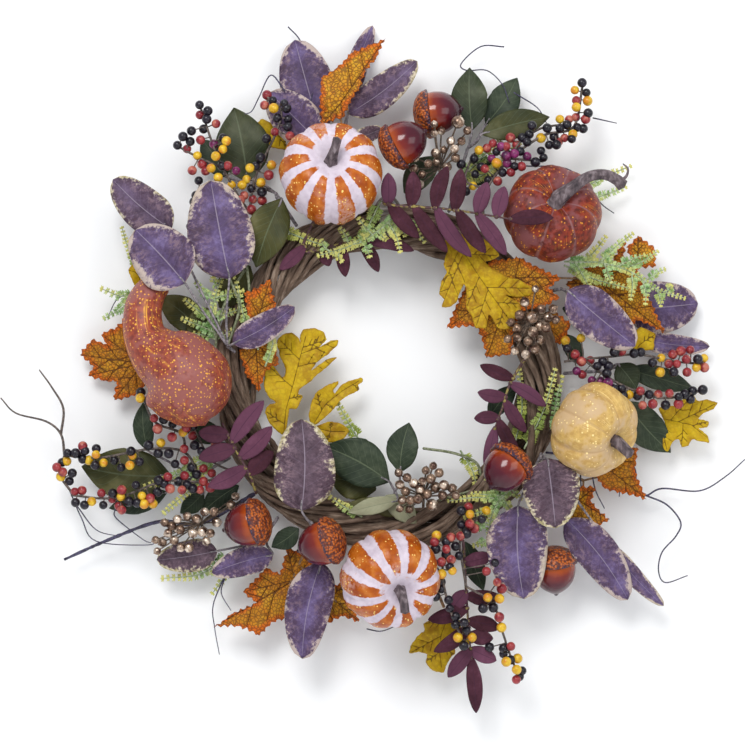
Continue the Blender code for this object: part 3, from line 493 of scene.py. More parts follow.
def acorn_paint():
    """A lacquered nut, wine red to orange at the cap, and a knobbly orange cap with a dark rim and painted
    shade in the hollows between its knobs.
    """
    shader = Shader("acorn_paint", roughness=0.2, specular=0.4, coat=0.12)
    height = shader.attribute("form", 0)
    broad = shader.noise(70, 3)
    along = shader.plus(height, shader.times(broad, 0.22))
    nut = shader.ramp(along, ((0.12, (0.026, 0.004, 0.012)), (0.42, (0.080, 0.006, 0.016)),
                              (0.62, (0.18, 0.016, 0.010)), (0.76, (0.40, 0.070, 0.006))))
    knobs = shader.cells(420).outputs["Distance"]
    # Painted shade: the cap turns dark brown in the hollows between the knobs, where the bump sinks.
    cap = shader.ramp(shader.scaled(knobs, 1.4, shader.times(broad, 0.3)),
                      ((0.30, (0.62, 0.17, 0.014)), (0.68, (0.48, 0.10, 0.010)), (1.05, (0.12, 0.022, 0.01))))
    rim = shader.times(shader.step(height, 0.60, 0.655), shader.step(height, 0.75, 0.68))
    cap = shader.mix(shader.times(rim, shader.step(shader.noise(500, 3), 0.42, 0.55)), cap,
                     (0.04, 0.02, 0.05))
    on_cap = shader.step(height, 0.640, 0.650)
    shader.to("Base Color", shader.mix(on_cap, nut, cap))
    shader.to("Roughness", shader.scaled(on_cap, 0.22, 0.14))
    shader.bump(shader.times(on_cap, shader.times(knobs, -1.0)), 1.0, 0.0016)
    return shader.material


def acorns():
    """Each acorn is turned in one piece, knobbly on its cap and slightly dented below."""
    paint = acorn_paint()
    outline = smooth_route([Vector((r, 0, h)) for r, h in ACORN_OUTLINE], 4)
    faces = grid_faces(len(outline) - 1, ACORN_SIDES)
    for number, (name, middle, axis) in enumerate(ACORNS):
        centre = place(*middle)
        turn_matrix = aim_matrix(axis)
        dice = random.Random(31 + number)
        phases = [dice.uniform(0, ANY_PHASE) for _ in range(3)]
        verts, forms = [], []
        for point in outline:
            share = (point.z + 1) / 2
            capped = int(share > CAP_FROM)
            for turn in turns(ACORN_SIDES):
                bumps = capped * 0.035 * math.sin(9 * turn + phases[0]) * math.sin(38 * share + phases[1])
                dent = 0.02 * math.sin(3 * turn + phases[2]) * (1 - capped)
                reach = ACORN_RADIUS * max(point.x, 0) * (1 + bumps + dent)
                local = Vector((reach * math.cos(turn), reach * math.sin(turn), ACORN_HALF_LENGTH * point.z))
                verts.append(centre + turn_matrix @ local)
                forms.append((share, turn, 0))
        made = make_object(name + "_nut", verts, faces, [paint])
        vertex_values(made, "form", forms)
        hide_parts(name)


# Materials of the leaves. Each blade stores (across -1 to 1, along 0 to 1, tone 0 to 1).

def wire_paint(name, dark, light, grain=420, turn=(0.35, 0.65)):
    """Wrapped wire in two tones; turn is where the grain changes from dark to light."""
    shader = Shader(name, roughness=0.6)
    tone = shader.noise(grain, 3)
    shader.to("Base Color", shader.mix(shader.step(tone, *turn), dark, light))
    shader.bump(tone, 0.4, 0.0004)
    return shader.material


def blade_coordinates(shader):
    """How far from the midrib, how far along, and the tone."""
    across = shader.maths("ABSOLUTE", shader.attribute("blade", 0))
    return across, shader.attribute("blade", 1), shader.attribute("blade", 2)


def side_veins(shader, across, along, count, slant, width):
    """Veins that leave the midrib towards the tip: 1 on a vein."""
    phase = shader.times(shader.scaled(across, -slant, along), count)
    wave = shader.maths("PINGPONG", phase, 0.5)
    return shader.step(wave, width, width * 0.3)


def purple_paint():
    """Violet felt with a paler midrib, and a blotchy cream and green margin."""
    shader = Shader("purple_leaf_paint", roughness=0.6, specular=0.25)
    across, along, tone = blade_coordinates(shader)
    streaky = shader.stretched(shader.attribute_vector("blade"), (1.6, 7.0, 3.0))
    strokes = shader.noise(2.6, 5, streaky, rough=0.7)
    broad = shader.noise(52, 4)
    fine = shader.noise(340, 5, rough=0.65)
    violet = shader.ramp(shader.shared(fine, 0.35, broad),
                         ((0.34, (0.048, 0.027, 0.058)), (0.50, (0.092, 0.058, 0.138)),
                          (0.66, (0.185, 0.138, 0.300))))
    smoky = shader.ramp(shader.shared(fine, 0.5, broad),
                        ((0.38, (0.045, 0.025, 0.038)), (0.62, (0.145, 0.093, 0.125))))
    body = shader.mix(shader.step(tone, 0.35, 0.75), violet, smoky)
    rosy = shader.times(shader.step(strokes, 0.47, 0.62), shader.step(across, 0.05, 0.60))
    body = shader.glaze(body, rosy, 0.70, (0.235, 0.150, 0.180))
    scorched = shader.times(shader.step(strokes, 0.52, 0.38), shader.step(across, 0.12, 0.65))
    body = shader.glaze(body, scorched, 0.75, (0.075, 0.038, 0.055))
    veins = side_veins(shader, across, along, 8.0, 0.20, 0.055)
    body = shader.glaze(body, veins, 0.12, (0.30, 0.24, 0.34))
    tip = shader.times(shader.step(along, 0.72, 1.0), 0.35)
    rim = shader.plus(across, tip)
    rim = shader.ragged(rim, strokes, 1.1)
    rim = shader.ragged(rim, broad, 1.3)
    rim = shader.ragged(rim, fine, 0.8)
    cream = shader.mix(shader.step(fine, 0.42, 0.60), (0.38, 0.33, 0.15), (0.66, 0.58, 0.42))
    cream = shader.mix(shader.step(tone, 0.2, 0.7), (0.50, 0.40, 0.36), cream)
    body = shader.mix(shader.step(rim, 0.84, 1.06), body, cream)
    body = shader.glaze(body, shader.step(across, 0.028, 0.008), 0.6, (0.36, 0.30, 0.37))
    shader.to("Base Color", body)
    relief = shader.scaled(veins, 0.7, shader.times(fine, 0.6))
    relief = shader.scaled(shader.step(across, 0.06, 0.02), 1.0, relief)
    shader.bump(relief, 0.35, 0.0008)
    return shader.material


def green_paint():
    """Dark green silk with lighter veins; old leaves are olive."""
    shader = Shader("green_leaf_paint", roughness=0.5, specular=0.25)
    across, along, tone = blade_coordinates(shader)
    fine = shader.noise(230, 4)
    broad = shader.noise(38, 3)
    deep = shader.ramp(shader.shared(fine, 0.4, broad),
                       ((0.34, (0.010, 0.020, 0.010)), (0.52, (0.028, 0.042, 0.022)),
                        (0.70, (0.062, 0.080, 0.046))))
    olive = shader.ramp(broad, ((0.36, (0.036, 0.040, 0.008)), (0.55, (0.072, 0.070, 0.018)),
                                (0.72, (0.150, 0.140, 0.055))))
    body = shader.mix(shader.step(tone, 0.45, 0.62), deep, olive)
    pale = shader.mix(fine, (0.27, 0.27, 0.16), (0.36, 0.36, 0.24))
    body = shader.mix(shader.step(tone, 0.90, 0.94), body, pale)
    veins = side_veins(shader, across, along, 9.0, 0.28, 0.05)
    body = shader.glaze(body, veins, 0.30, (0.13, 0.17, 0.11))
    body = shader.glaze(body, shader.step(across, 0.045, 0.012), 0.6, (0.13, 0.16, 0.09))
    shader.to("Base Color", body)
    relief = shader.scaled(veins, -0.8, shader.times(fine, 0.5))
    shader.bump(relief, 0.4, 0.0009)
    return shader.material


def frond_paint():
    """Matte plum cloth with a faint weave and midrib."""
    shader = Shader("burgundy_frond_paint", roughness=0.8, specular=0.12)
    across, _, tone = blade_coordinates(shader)
    fine = shader.noise(380, 4)
    broad = shader.noise(44, 3)
    body = shader.ramp(shader.shared(fine, 0.35, broad),
                       ((0.34, (0.036, 0.011, 0.016)), (0.55, (0.070, 0.022, 0.034)),
                        (0.72, (0.130, 0.046, 0.074))))
    body = shader.glaze(body, shader.step(tone, 0.3, 0.9), 0.45, (0.20, 0.075, 0.14))
    body = shader.glaze(body, shader.step(across, 0.07, 0.02), 0.6, (0.05, 0.02, 0.04))
    shader.to("Base Color", body)
    shader.bump(fine, 0.25, 0.0004)
    return shader.material


def lobed_paint(name, field, edge, vein, cell_scale, cell_share, rim_at, vein_width):
    """A lobed blade stores (rim share, vein distance in mm, tone); cells darken between the veins."""
    shader = Shader(name, roughness=0.6, specular=0.25)
    share = shader.attribute("blade", 0)
    from_vein = shader.attribute("blade", 1)
    tone = shader.attribute("blade", 2)
    broad = shader.noise(48, 3)
    fine = shader.noise(240, 4)
    body = shader.mix(shader.step(shader.scaled(tone, 0.30, broad), 0.40, 0.85), field[0], field[1])
    body = shader.glaze(body, shader.step(fine, 0.40, 0.70), 0.6, field[2])
    rim = shader.ragged(share, broad, 1.1)
    body = shader.glaze(body, shader.step(rim, rim_at, rim_at + 0.28), 0.85, edge)
    network = shader.cells(cell_scale, "DISTANCE_TO_EDGE").outputs["Distance"]
    lines = shader.times(shader.step(network, 0.17, 0.03), cell_share)
    body = shader.mix(lines, body, vein)
    strong = shader.step(shader.scaled(fine, 0.6, from_vein), vein_width, vein_width * 0.5)
    body = shader.glaze(body, strong, 0.85, vein)
    shader.to("Base Color", body)
    relief = shader.scaled(strong, -1.2, shader.times(lines, -0.8))
    shader.bump(shader.scaled(fine, 0.4, relief), 0.6, 0.0010)
    return shader.material


# Blades

OVATE = (
    (0, 0.03), (0.04, 0.36), (0.12, 0.72), (0.25, 0.95), (0.38, 1.0), (0.56, 0.95), (0.74, 0.80),
    (0.88, 0.58), (0.96, 0.35), (0.99, 0.16), (1, 0.02),
)
LANCE = (
    (0, 0.04), (0.08, 0.36), (0.22, 0.78), (0.42, 1.0), (0.62, 0.92), (0.80, 0.62), (0.92, 0.28), (1, 0.01),
)
OVAL = (
    (0, 0.34), (0.10, 0.62), (0.28, 0.92), (0.48, 1.0), (0.68, 0.90), (0.84, 0.62), (0.94, 0.34), (1, 0.04),
)


def leaf_face(base, tip, roll=0):
    """The direction a leaf faces: forward, square to its length, rolled by some degrees."""
    along = (tip - base).normalized()
    face = (FRONT - along * FRONT.dot(along)).normalized()
    return Matrix.Rotation(math.radians(roll), 3, along) @ face


def profile(outline):
    """The outline's stations, with a smooth curve through them."""
    curve = smooth_route([Vector((share, half, 0)) for share, half in outline], 5)
    return [point.x for point in curve], [max(point.y, 0) for point in curve]


def blade(base, tip, width, outline, dice, roll=0, teeth=0, tone=None, rows=26, cols=12, wave=0.05):
    """(verts, faces, values) of one blade: arched along, folded at the midrib, waved at its sides."""
    face = leaf_face(base, tip, roll)
    arch, fold = 0.06, 0.14
    length = (tip - base).length
    side = (tip - base).normalized().cross(face)
    tone = dice.random() if tone is None else tone
    sway = dice.uniform(-0.05, 0.05) * length
    twist = dice.uniform(-0.30, 0.30)
    phase, beats = dice.uniform(0, ANY_PHASE), dice.uniform(1.2, 2.2)
    shares, reach = profile(outline)
    verts, values = [], []
    for row in range(rows + 1):
        v = row / rows
        half = width / 2 * float(np.interp(v, shares, reach))
        if teeth and 0.08 < v < 0.97:
            half *= 1 + 0.045 * ((v * teeth) % 1 - 0.5)
        middle = base.lerp(tip, v) + side * sway * math.sin(math.pi * v)
        middle = middle + face * (arch * length * math.sin(math.pi * v))
        roll_here = twist * (v - 0.4)
        across = side * math.cos(roll_here) + face * math.sin(roll_here)
        for col in range(cols + 1):
            u = 2 * col / cols - 1
            lift = fold * abs(u) * half - 0.10 * half * u * u
            lift += wave * width * math.sin(2 * math.pi * beats * v + phase + (1.7 if u > 0 else 0)) * u * u
            verts.append(middle + across * half * u + face * lift)
            values.append((u, v, tone))
    return verts, grid_faces(rows, cols + 1, seam=False), values


def blade_object(name, blades, paint, node=None, thickness=0.0006):
    """Several (verts, faces, values) blades in one object of this thickness."""
    verts, faces, _ = gather([(v, f) for v, f, _ in blades])
    made = make_object(name, verts, faces, [paint])
    vertex_values(made, "blade", [value for _, _, values in blades for value in values])
    modifier = made.modifiers.new("thickness", "SOLIDIFY")
    modifier.thickness = thickness
    modifier.offset = 0
    if node:
        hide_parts(node)


def wires(name, routes, radii, paint, steps=6, sides=7):
    """Several bent stems in one object."""
    parts = []
    for route, radius in zip(routes, radii):
        smooth = smooth_route(route, steps) if len(route) > 2 else route
        if isinstance(radius, tuple):
            radius = np.linspace(radius[0], radius[1], len(smooth))
        parts.append(tube_mesh(smooth, radius, sides))
    verts, faces, _ = gather(parts)
    return make_object(name, verts, faces, [paint])


# A pick of leaves: its stem, and each leaf's base, tip and width, with a tone for a green one
PURPLE = (
    ("purple_leaves_top", ((-42, 144.5, 22), (-46, 176, 22)),
     (((-58, 212, 22), (-80, 291, 12), 46), ((-62, 205, 30), (-101, 244, 28), 38),
      ((-33, 240, 14), (-13, 304, 6), 18), ((-34, 226, 26), (25, 271, 28), 28),
      ((-28, 204, 28), (-5, 213, 30), 14))),
    ("purple_leaves_upper_left", ((-130, 22, 46), (-136, 27, 50)),
     (((-184, 126, 46), (-234, 169, 40), 36), ((-171, 80, 66), (-213, 125, 62), 50),
      ((-134, 84, 60), (-150, 167, 54), 54), ((-131, 29, 56), (-79, 60, 54), 24))),
    ("purple_leaves_right", ((130, 73, 26), (148, 76, 40)),
     (((152, 74, 54), (209, 27, 54), 38), ((206, 58, 16), (267, 64, 12), 44),
      ((215, 34, 16), (277, 27, 12), 18))),
    ("purple_leaves_lower_right", ((122, -90, 26), (130, -64, 52)),
     (((134, -68, 70), (141, -126, 64), 46), ((110, -108, 56), (115, -187, 50), 50),
      ((152, -120, 42), (205, -189, 32), 34), ((188, -142, 34), (236, -195, 26), 15))),
    ("purple_leaves_bottom", ((-62, -126, 46), (-66, -122, 50)),
     (((-73, -112, 58), (-73, -35, 56), 50), ((-57, -156, 52), (-73, -238, 46), 38))),
    ("purple_leaves_lower_left", ((-94, -119, 28), (-104, -134, 30)),
     (((-146, -148, 26), (-198, -156, 22), 27), ((-98, -150, 38), (-150, -166, 36), 24))),
)
GREEN = (
    ("green_leaves_upper_left", ((-78, 130, 30), (-96, 158, 34)),
     (((-120, 168, 24), (-132, 232, 18), 44, 0.52), ((-138, 172, 24), (-160, 205, 20), 22, 0.2),
      ((-90, 152, 50), (-112, 94, 50), 34, 0.7))),
    ("green_leaves_upper_right", ((52, 142, 28), (68, 196, 30)),
     (((72, 212, 28), (70, 266, 22), 30, 0.5), ((84, 218, 22), (111, 258, 16), 26, 0.2),
      ((80, 208, 36), (138, 223, 32), 24, 0.56))),
    ("green_leaves_left", ((-135, -68, 26), (-166, -86, 24)),
     (((-186, -84, 22), (-263, -76, 18), 44, 0.58), ((-190, -98, 14), (-240, -112, 10), 20, 0.3),
      ((-205, -62, 34), (-209, -21, 34), 17, 0.1), ((-158, -98, 22), (-178, -116, 22), 16, 0.1))),
    ("green_leaves_right", ((151, 4, 20), (186, 6, 18)),
     (((197, 12, 24), (213, -9, 26), 22, 0.5), ((205, 8, 18), (263, -9, 14), 20, 0.2),
      ((204, -20, 20), (243, -64, 18), 30, 0.2))),
    ("green_leaves_inner_bottom", ((6, -107, 30), (6, -96, 38)),
     (((1, -88, 40), (-55, -58, 36), 38, 0.1), ((10, -80, 46), (18, -38, 42), 26, 0.1),
      ((8, -104, 47), (-34, -114, 48), 14, 0.95))),
)
LOOSE_GREEN = (
    ((-10, -95, 30), (-50, -85, 28), 30, 0.66), ((-2, -100, 40), (24, -124, 40), 20, 0.95),
    ((-36, -108, 34), (28, -116, 36), 16, 0.66), ((-76, -128, 40), (-99, -144, 38), 18, 0.3),
    ((-118, 96, 30), (-144, 60, 30), 30, 0.62), ((86, -34, 34), (110, -6, 32), 18, 0.4),
    ((150, 38, 26), (166, 10, 28), 16, 0.3), ((-150, 60, 34), (-168, 30, 36), 26, 0.66),
    ((-158, 38, 28), (-196, 70, 24), 28, 0.86), ((14, 158, 30), (44, 190, 26), 24, 0.5),
    ((62, 168, 26), (98, 186, 22), 22, 0.45), ((-140, -52, 26), (-176, -40, 24), 20, 0.3),
    ((-128, -92, 24), (-160, -116, 20), 20, 0.4), ((66, -140, 26), (82, -182, 24), 18, 0.3),
    ((150, 60, 20), (186, 52, 18), 20, 0.5), ((-44, 150, 26), (-74, 196, 22), 20, 0.6),
    ((112, -30, 26), (132, 4, 24), 16, 0.35),
)
GREEN_TEETH = 24
LEAF_PETIOLE = (0.0012, 0.0008)


def leaf_picks():
    """The purple and green leaves on their petioles, and the green ones that fill in between."""
    purple, green = purple_paint(), green_paint()
    petiole = wire_paint("leaf_petiole_paint", (0.10, 0.09, 0.10), (0.34, 0.30, 0.32))
    for index, (name, stem, blades) in enumerate(PURPLE + GREEN):
        is_purple = name.startswith("purple")
        dice = random.Random(100 + index)
        made, routes = [], [places(stem)]
        hub = place(*stem[-1])
        for base, tip, width, *tone in blades:
            start, end = place(*base), place(*tip)
            outline = OVATE if is_purple else LANCE
            made.append(blade(start, end, width * MM * 1.04, outline, dice,
                              teeth=0 if is_purple else GREEN_TEETH, tone=tone[0] if tone else None))
            into = start.lerp(end, 0.12) + leaf_face(start, end) * (end - start).length * 0.02
            slack = Vector((dice.uniform(-3, 3), dice.uniform(-2, 2), dice.uniform(-3, 3))) * MM
            routes.append([hub, hub.lerp(start, 0.5) + slack, start, into])
        blade_object(name + "_blades", made, purple if is_purple else green,
                     name)
        wires(name + "_petioles", routes, [0.0015] + [LEAF_PETIOLE] * len(blades), petiole)
    dice = random.Random(77)
    made = [blade(place(*base), place(*tip), width * MM, LANCE, dice, teeth=GREEN_TEETH, tone=tone)
            for base, tip, width, tone in LOOSE_GREEN]
    blade_object("green_leaves_between", made, green)


# Lobed leaves. A pick: its stem, and each leaf's centre and outline; an oak leaf has its midrib too
MAPLE = (
    ("maple_leaf_top", ((-30, 148, 34), (-38, 200, 36)),
     (((-42, 240, 37), ((-2, 290), (-10, 272), (-20, 260), (-24, 248), (-38, 222), (-56, 216), (-58, 236),
      (-57, 256), (-44, 264), (-31, 277), (-15, 284))),)),
    ("maple_leaf_left", ((-151, 8, 22), (-196, 14, 20)),
     (((-214, 16, 20), ((-205, 34), (-222, 54), (-232, 44), (-246, 37), (-241, 29), (-254, 33), (-265, 20),
      (-253, 10), (-258, 2), (-246, -2), (-233, -3), (-235, -19), (-212, -12), (-203, 6))),)),
    ("maple_leaf_inner_left", ((-118, 40, 47), (-114, 44, 47)),
     (((-110, 42, 47), ((-100, 84), (-95, 62), (-104, 46), (-96, 26), (-92, 12), (-104, 6), (-110, -12),
      (-120, 2), (-126, 20), (-118, 44), (-122, 72))),)),
    ("maple_leaves_right", ((112, 92, 45), (112, 86, 47)),
     (((196, 84, 32), ((203, 118), (200, 98), (219, 104), (214, 90), (226, 62), (238, 38), (212, 50),
      (209, 43), (190, 58), (178, 74), (160, 66), (152, 80), (172, 96), (188, 96))),
      ((106, 76, 47), ((88, 100), (112, 102), (147, 85), (136, 76), (146, 68), (132, 60), (112, 56),
      (104, 20), (84, 17), (76, 44), (50, 42), (66, 78))))),
    ("maple_leaves_lower_right", ((138, -76, 20), (168, -88, 20)),
     (((200, -80, 22), ((214, -58), (212, -80), (222, -104), (200, -98), (186, -95), (176, -80),
      (190, -70))), ((166, -112, 26), ((158, -92), (178, -93), (174, -106), (190, -121), (176, -130),
      (158, -128), (150, -112))))),
    ("maple_leaves_bottom", ((-68, -140, 26), (-76, -160, 26)),
     (((-88, -184, 28), ((-86, -146), (-64, -152), (-66, -176), (-64, -204), (-82, -206), (-94, -206),
      (-110, -220), (-128, -212), (-149, -213), (-134, -202), (-112, -192), (-124, -183), (-104, -162),
      (-92, -168))), ((-44, -192, 22), ((-32, -172), (-28, -186), (-25, -209), (-40, -204), (-54, -212),
      (-62, -200), (-56, -180))))),
)
OAK = (
    ("oak_leaves_inner_left", ((-84, -69, 26), (-80, -52, 28)),
     (((-82, -6, 34), ((-90, -49), (-97, -43), (-102, -37), (-105, -28), (-102, -23), (-95, -21),
      (-101, -17), (-105, -10), (-106, -5), (-105, 3), (-104, 12), (-99, 12), (-94, 5), (-89, 0), (-87, 4),
      (-88, 10), (-92, 18), (-95, 29), (-94, 34), (-89, 38), (-82, 39), (-76, 35), (-75, 29), (-75, 37),
      (-72, 42), (-63, 43), (-55, 40), (-52, 33), (-59, 26), (-49, 32), (-42, 33), (-43, 28), (-51, 20),
      (-61, 13), (-66, 6), (-58, 12), (-50, 17), (-43, 18), (-50, 11), (-59, 4), (-66, -3), (-76, -10),
      (-77, -14), (-72, -15), (-75, -21), (-78, -27), (-84, -26), (-85, -34), (-86, -42)),
      ((-89, -49), (-87, -27), (-81, -6), (-76, 14), (-70, 36))), ((-56, -24, 26),
      ((-66, -40), (-68, -33), (-66, -22), (-61, -12), (-52, -6), (-42, -2), (-42, -5), (-47, -10),
      (-46, -14), (-40, -6), (-32, -2), (-22, 1), (-21, -3), (-26, -6), (-24, -10), (-32, -14), (-41, -20),
      (-46, -26), (-54, -34), (-61, -40)), ((-64, -40), (-53, -22), (-39, -11), (-24, -2))),
      ((-56, -48, 22), ((-62, -42), (-60, -49), (-54, -55), (-42, -55), (-37, -51), (-33, -45), (-40, -39),
      (-49, -37)), ((-61, -43), (-49, -46), (-36, -46))))),
    ("oak_leaf_inner_right", ((50, 124, 46), (54, 116, 50)),
     (((76, 82, 52), ((53, 122), (48, 117), (50, 107), (47, 96), (50, 89), (45, 82), (43, 71), (48, 67),
      (45, 60), (52, 60), (58, 64), (61, 73), (64, 80), (66, 77), (67, 69), (66, 59), (71, 53), (74, 42),
      (83, 42), (85, 54), (88, 52), (90, 47), (93, 42), (102, 41), (105, 48), (113, 55), (112, 63),
      (105, 67), (99, 71), (109, 68), (121, 70), (123, 76), (116, 80), (110, 84), (102, 85), (93, 90),
      (86, 94), (82, 99), (88, 100), (95, 104), (90, 110), (82, 118), (70, 117), (60, 123)),
      ((54, 122), (64, 107), (76, 88), (88, 70), (103, 49))),)),
    ("oak_leaf_outer_right", ((149, -24, 18), (222, -26, 16)),
     (((254, -38, 20), ((232, -26), (240, -23), (250, -24), (254, -17), (262, -14), (266, -20), (274, -18),
      (284, -21), (280, -27), (270, -31), (266, -35), (276, -37), (275, -42), (266, -43), (274, -49),
      (276, -56), (266, -54), (261, -52), (258, -58), (252, -60), (250, -52), (245, -54), (240, -64),
      (236, -60), (236, -50), (238, -40)), ((232, -34), (246, -37), (260, -40), (275, -52))),)),
    ("oak_leaf_bottom", ((28, -148, 24), (48, -196, 28)),
     (((46, -222, 30), ((52, -202), (42, -203), (30, -210), (32, -216), (26, -220), (20, -228), (18, -236),
      (26, -234), (34, -236), (32, -243), (38, -250), (48, -252), (50, -245), (54, -238), (58, -236),
      (56, -228), (64, -230), (74, -226), (68, -219), (62, -214), (64, -208)),
      ((52, -203), (46, -218), (44, -232), (46, -248))),)),
)


RIM_PITCH = 1.5


def rim_points(outline, toothed, dice):
    """The outline with its long sides bowed and, on maple, saw-toothed."""
    points = [Vector(p) for p in outline]
    count = len(points)
    made = []
    for index in range(count):
        a, b = points[index], points[(index + 1) % count]
        span = (b - a).length
        normal = Vector((-(b - a).y, (b - a).x)).normalized()
        steps = max(2, int(span / RIM_PITCH))
        bow = dice.uniform(-0.02, 0.05) * span
        for step in range(steps):
            share = step / steps
            offset = bow * math.sin(math.pi * share)
            if toothed and step:
                offset += dice.uniform(0.4, 1.7) * (abs(step % 4 - 2) - 1) * min(1, span / 12)
            made.append(a.lerp(b, share) - normal * offset)
    if not toothed:
        made = [(made[i - 1] + 2 * made[i] + made[(i + 1) % len(made)]) / 4 for i in range(len(made))]
        made = [point + Vector((dice.uniform(-0.25, 0.25), dice.uniform(-0.25, 0.25))) for point in made]
    return made


def nearest_share(point, spine):
    """(distance, how far along the spine) of the spine point nearest a point."""
    found = []
    for index in range(len(spine) - 1):
        a, b = spine[index], spine[index + 1]
        share = max(0, min(1, (point - a).dot(b - a) / (b - a).length_squared))
        found.append(((point - a.lerp(b, share)).length, index + share))
    return min(found)


def vein_lines(centre, outline, hub, spine):
    """The midrib, a side vein to each lobe tip, and two pairs of twigs on each side vein."""
    points = [Vector(p) for p in outline]
    hub, centre = Vector(hub), Vector(centre)
    if spine:
        spine = [Vector(p) for p in spine]
        reaches = [nearest_share(point, spine)[0] for point in points]
    else:
        base = min(points, key=lambda p: (p - hub).length)
        spine = [base, centre.lerp(base, 0.35), max(points, key=lambda p: (p - base).length)]
        reaches = [(point - spine[1]).length for point in points]
    lines = [(spine[i], spine[i + 1]) for i in range(len(spine) - 1)]
    count = len(points)
    for index, point in enumerate(points):
        reach = reaches[index]
        if reach < 5 or reach < reaches[index - 1] or reach < reaches[(index + 1) % count]:
            continue
        if len(spine) > 3:
            foot = max(0.1, nearest_share(point, spine)[1] - 0.55 * reach / (spine[1] - spine[0]).length)
            start = spine[int(foot)].lerp(spine[min(int(foot) + 1, len(spine) - 1)], foot % 1)
        else:
            start = spine[1]
        lines.append((start, start.lerp(point, 0.93)))
        along = point - start
        for share, way in ((0.25, 1), (0.38, -1), (0.52, 1), (0.66, -1)):
            fork = start.lerp(point, share)
            side = Vector((-along.y, along.x)) * way * 0.22
            lines.append((fork, fork + side + along * 0.22))
    return lines


def gaps(points, lines):
    """Each point's distance to the nearest of the lines, in mm."""
    points = np.array([tuple(p) for p in points])
    best = np.full(len(points), 1e9)
    for a, b in lines:
        a, b = np.array(tuple(a)), np.array(tuple(b))
        share = np.clip((points - a) @ (b - a) / max(float((b - a) @ (b - a)), 1e-9), 0, 1)
        best = np.minimum(best, np.linalg.norm(points - (a + share[:, None] * (b - a)), axis=1))
    return best


def inside_of(points, rim):
    """True for each point that lies within the closed rim."""
    x, y = np.array([tuple(p) for p in points]).T
    within = np.zeros(len(points), bool)
    for index in range(len(rim)):
        a, b = rim[index - 1], rim[index]
        if a.y != b.y:
            crosses = (a.y > y) != (b.y > y)
            within ^= crosses & (x < (b.x - a.x) * (y - a.y) / (b.y - a.y) + a.x)
    return within


GRID_PITCH = 1.5
VEIN_PITCH = 0.8
RIM_CLEARANCE = 0.7
RIM_BAND = 14
HILL = 1.8


def lobed_blade(centre, outline, hub, toothed, dice, spine=None):
    """(verts, faces, values) of a lobed blade, with points along each vein and hills between the veins."""
    rim = rim_points(outline, toothed, dice)
    lines = vein_lines(centre[:2], outline, hub, spine)
    middle = Vector(centre[:2])
    edges = [(rim[i - 1], rim[i]) for i in range(len(rim))]
    low = [min(p[axis] for p in rim) for axis in (0, 1)]
    high = [max(p[axis] for p in rim) for axis in (0, 1)]
    seeds = [Vector((x + dice.uniform(-0.3, 0.3), y + dice.uniform(-0.3, 0.3)))
             for x in np.arange(low[0], high[0], GRID_PITCH)
             for y in np.arange(low[1], high[1], GRID_PITCH)]
    for a, b in lines:
        steps = max(2, int((b - a).length / VEIN_PITCH))
        seeds += [a.lerp(b, step / steps) for step in range(steps)]
    keep = inside_of(seeds, rim) & (gaps(seeds, edges) > RIM_CLEARANCE)
    flat = rim + [seed for seed, kept in zip(seeds, keep) if kept]
    loop = [(i, (i + 1) % len(rim)) for i in range(len(rim))]
    flat, _, faces, _, _, _ = delaunay_2d_cdt(flat, loop, [], 1, 1e-5)
    size = max((p - middle).length for p in rim)
    droop = 0.03 if spine else 0.10
    tone = dice.random()
    tilt = Vector((dice.uniform(-0.10, 0.10), dice.uniform(-0.10, 0.10)))
    phase = dice.uniform(0, ANY_PHASE)
    verts, values = [], []
    for point, gap, inset in zip(flat, gaps(flat, lines), gaps(flat, edges)):
        reach = (point - middle).length / size
        turn = math.atan2(point.y - middle.y, point.x - middle.x)
        depth = centre[2] + HILL * min(gap / 5, 1) - droop * size * reach ** 2.2
        depth += 0.055 * size * reach * math.sin(3 * turn + phase) + tilt.dot(point - middle)
        verts.append(place(point.x, point.y, depth))
        values.append((1 - min(1, inset / RIM_BAND), gap, tone))
    return verts, [tuple(face) for face in faces], values


LOOSE_OAK = (
    ((-98, 209, 20), ((-118, 212), (-108, 223), (-96, 218), (-84, 222), (-78, 210), (-88, 203), (-84, 195),
     (-100, 198), (-114, 198))),
    ((-213, 90, 34), ((-222, 92), (-214, 102), (-204, 94), (-206, 82), (-216, 78))),
    ((218, 32, 22), ((206, 34), (216, 44), (230, 38), (228, 24), (212, 22))),
)
LOOSE_MAPLE = (
    ((216, 106, 24), ((204, 112), (214, 122), (228, 112), (230, 96), (212, 94))),
    ((140, 42, 30), ((124, 52), (142, 58), (156, 46), (150, 30), (130, 26))),
)


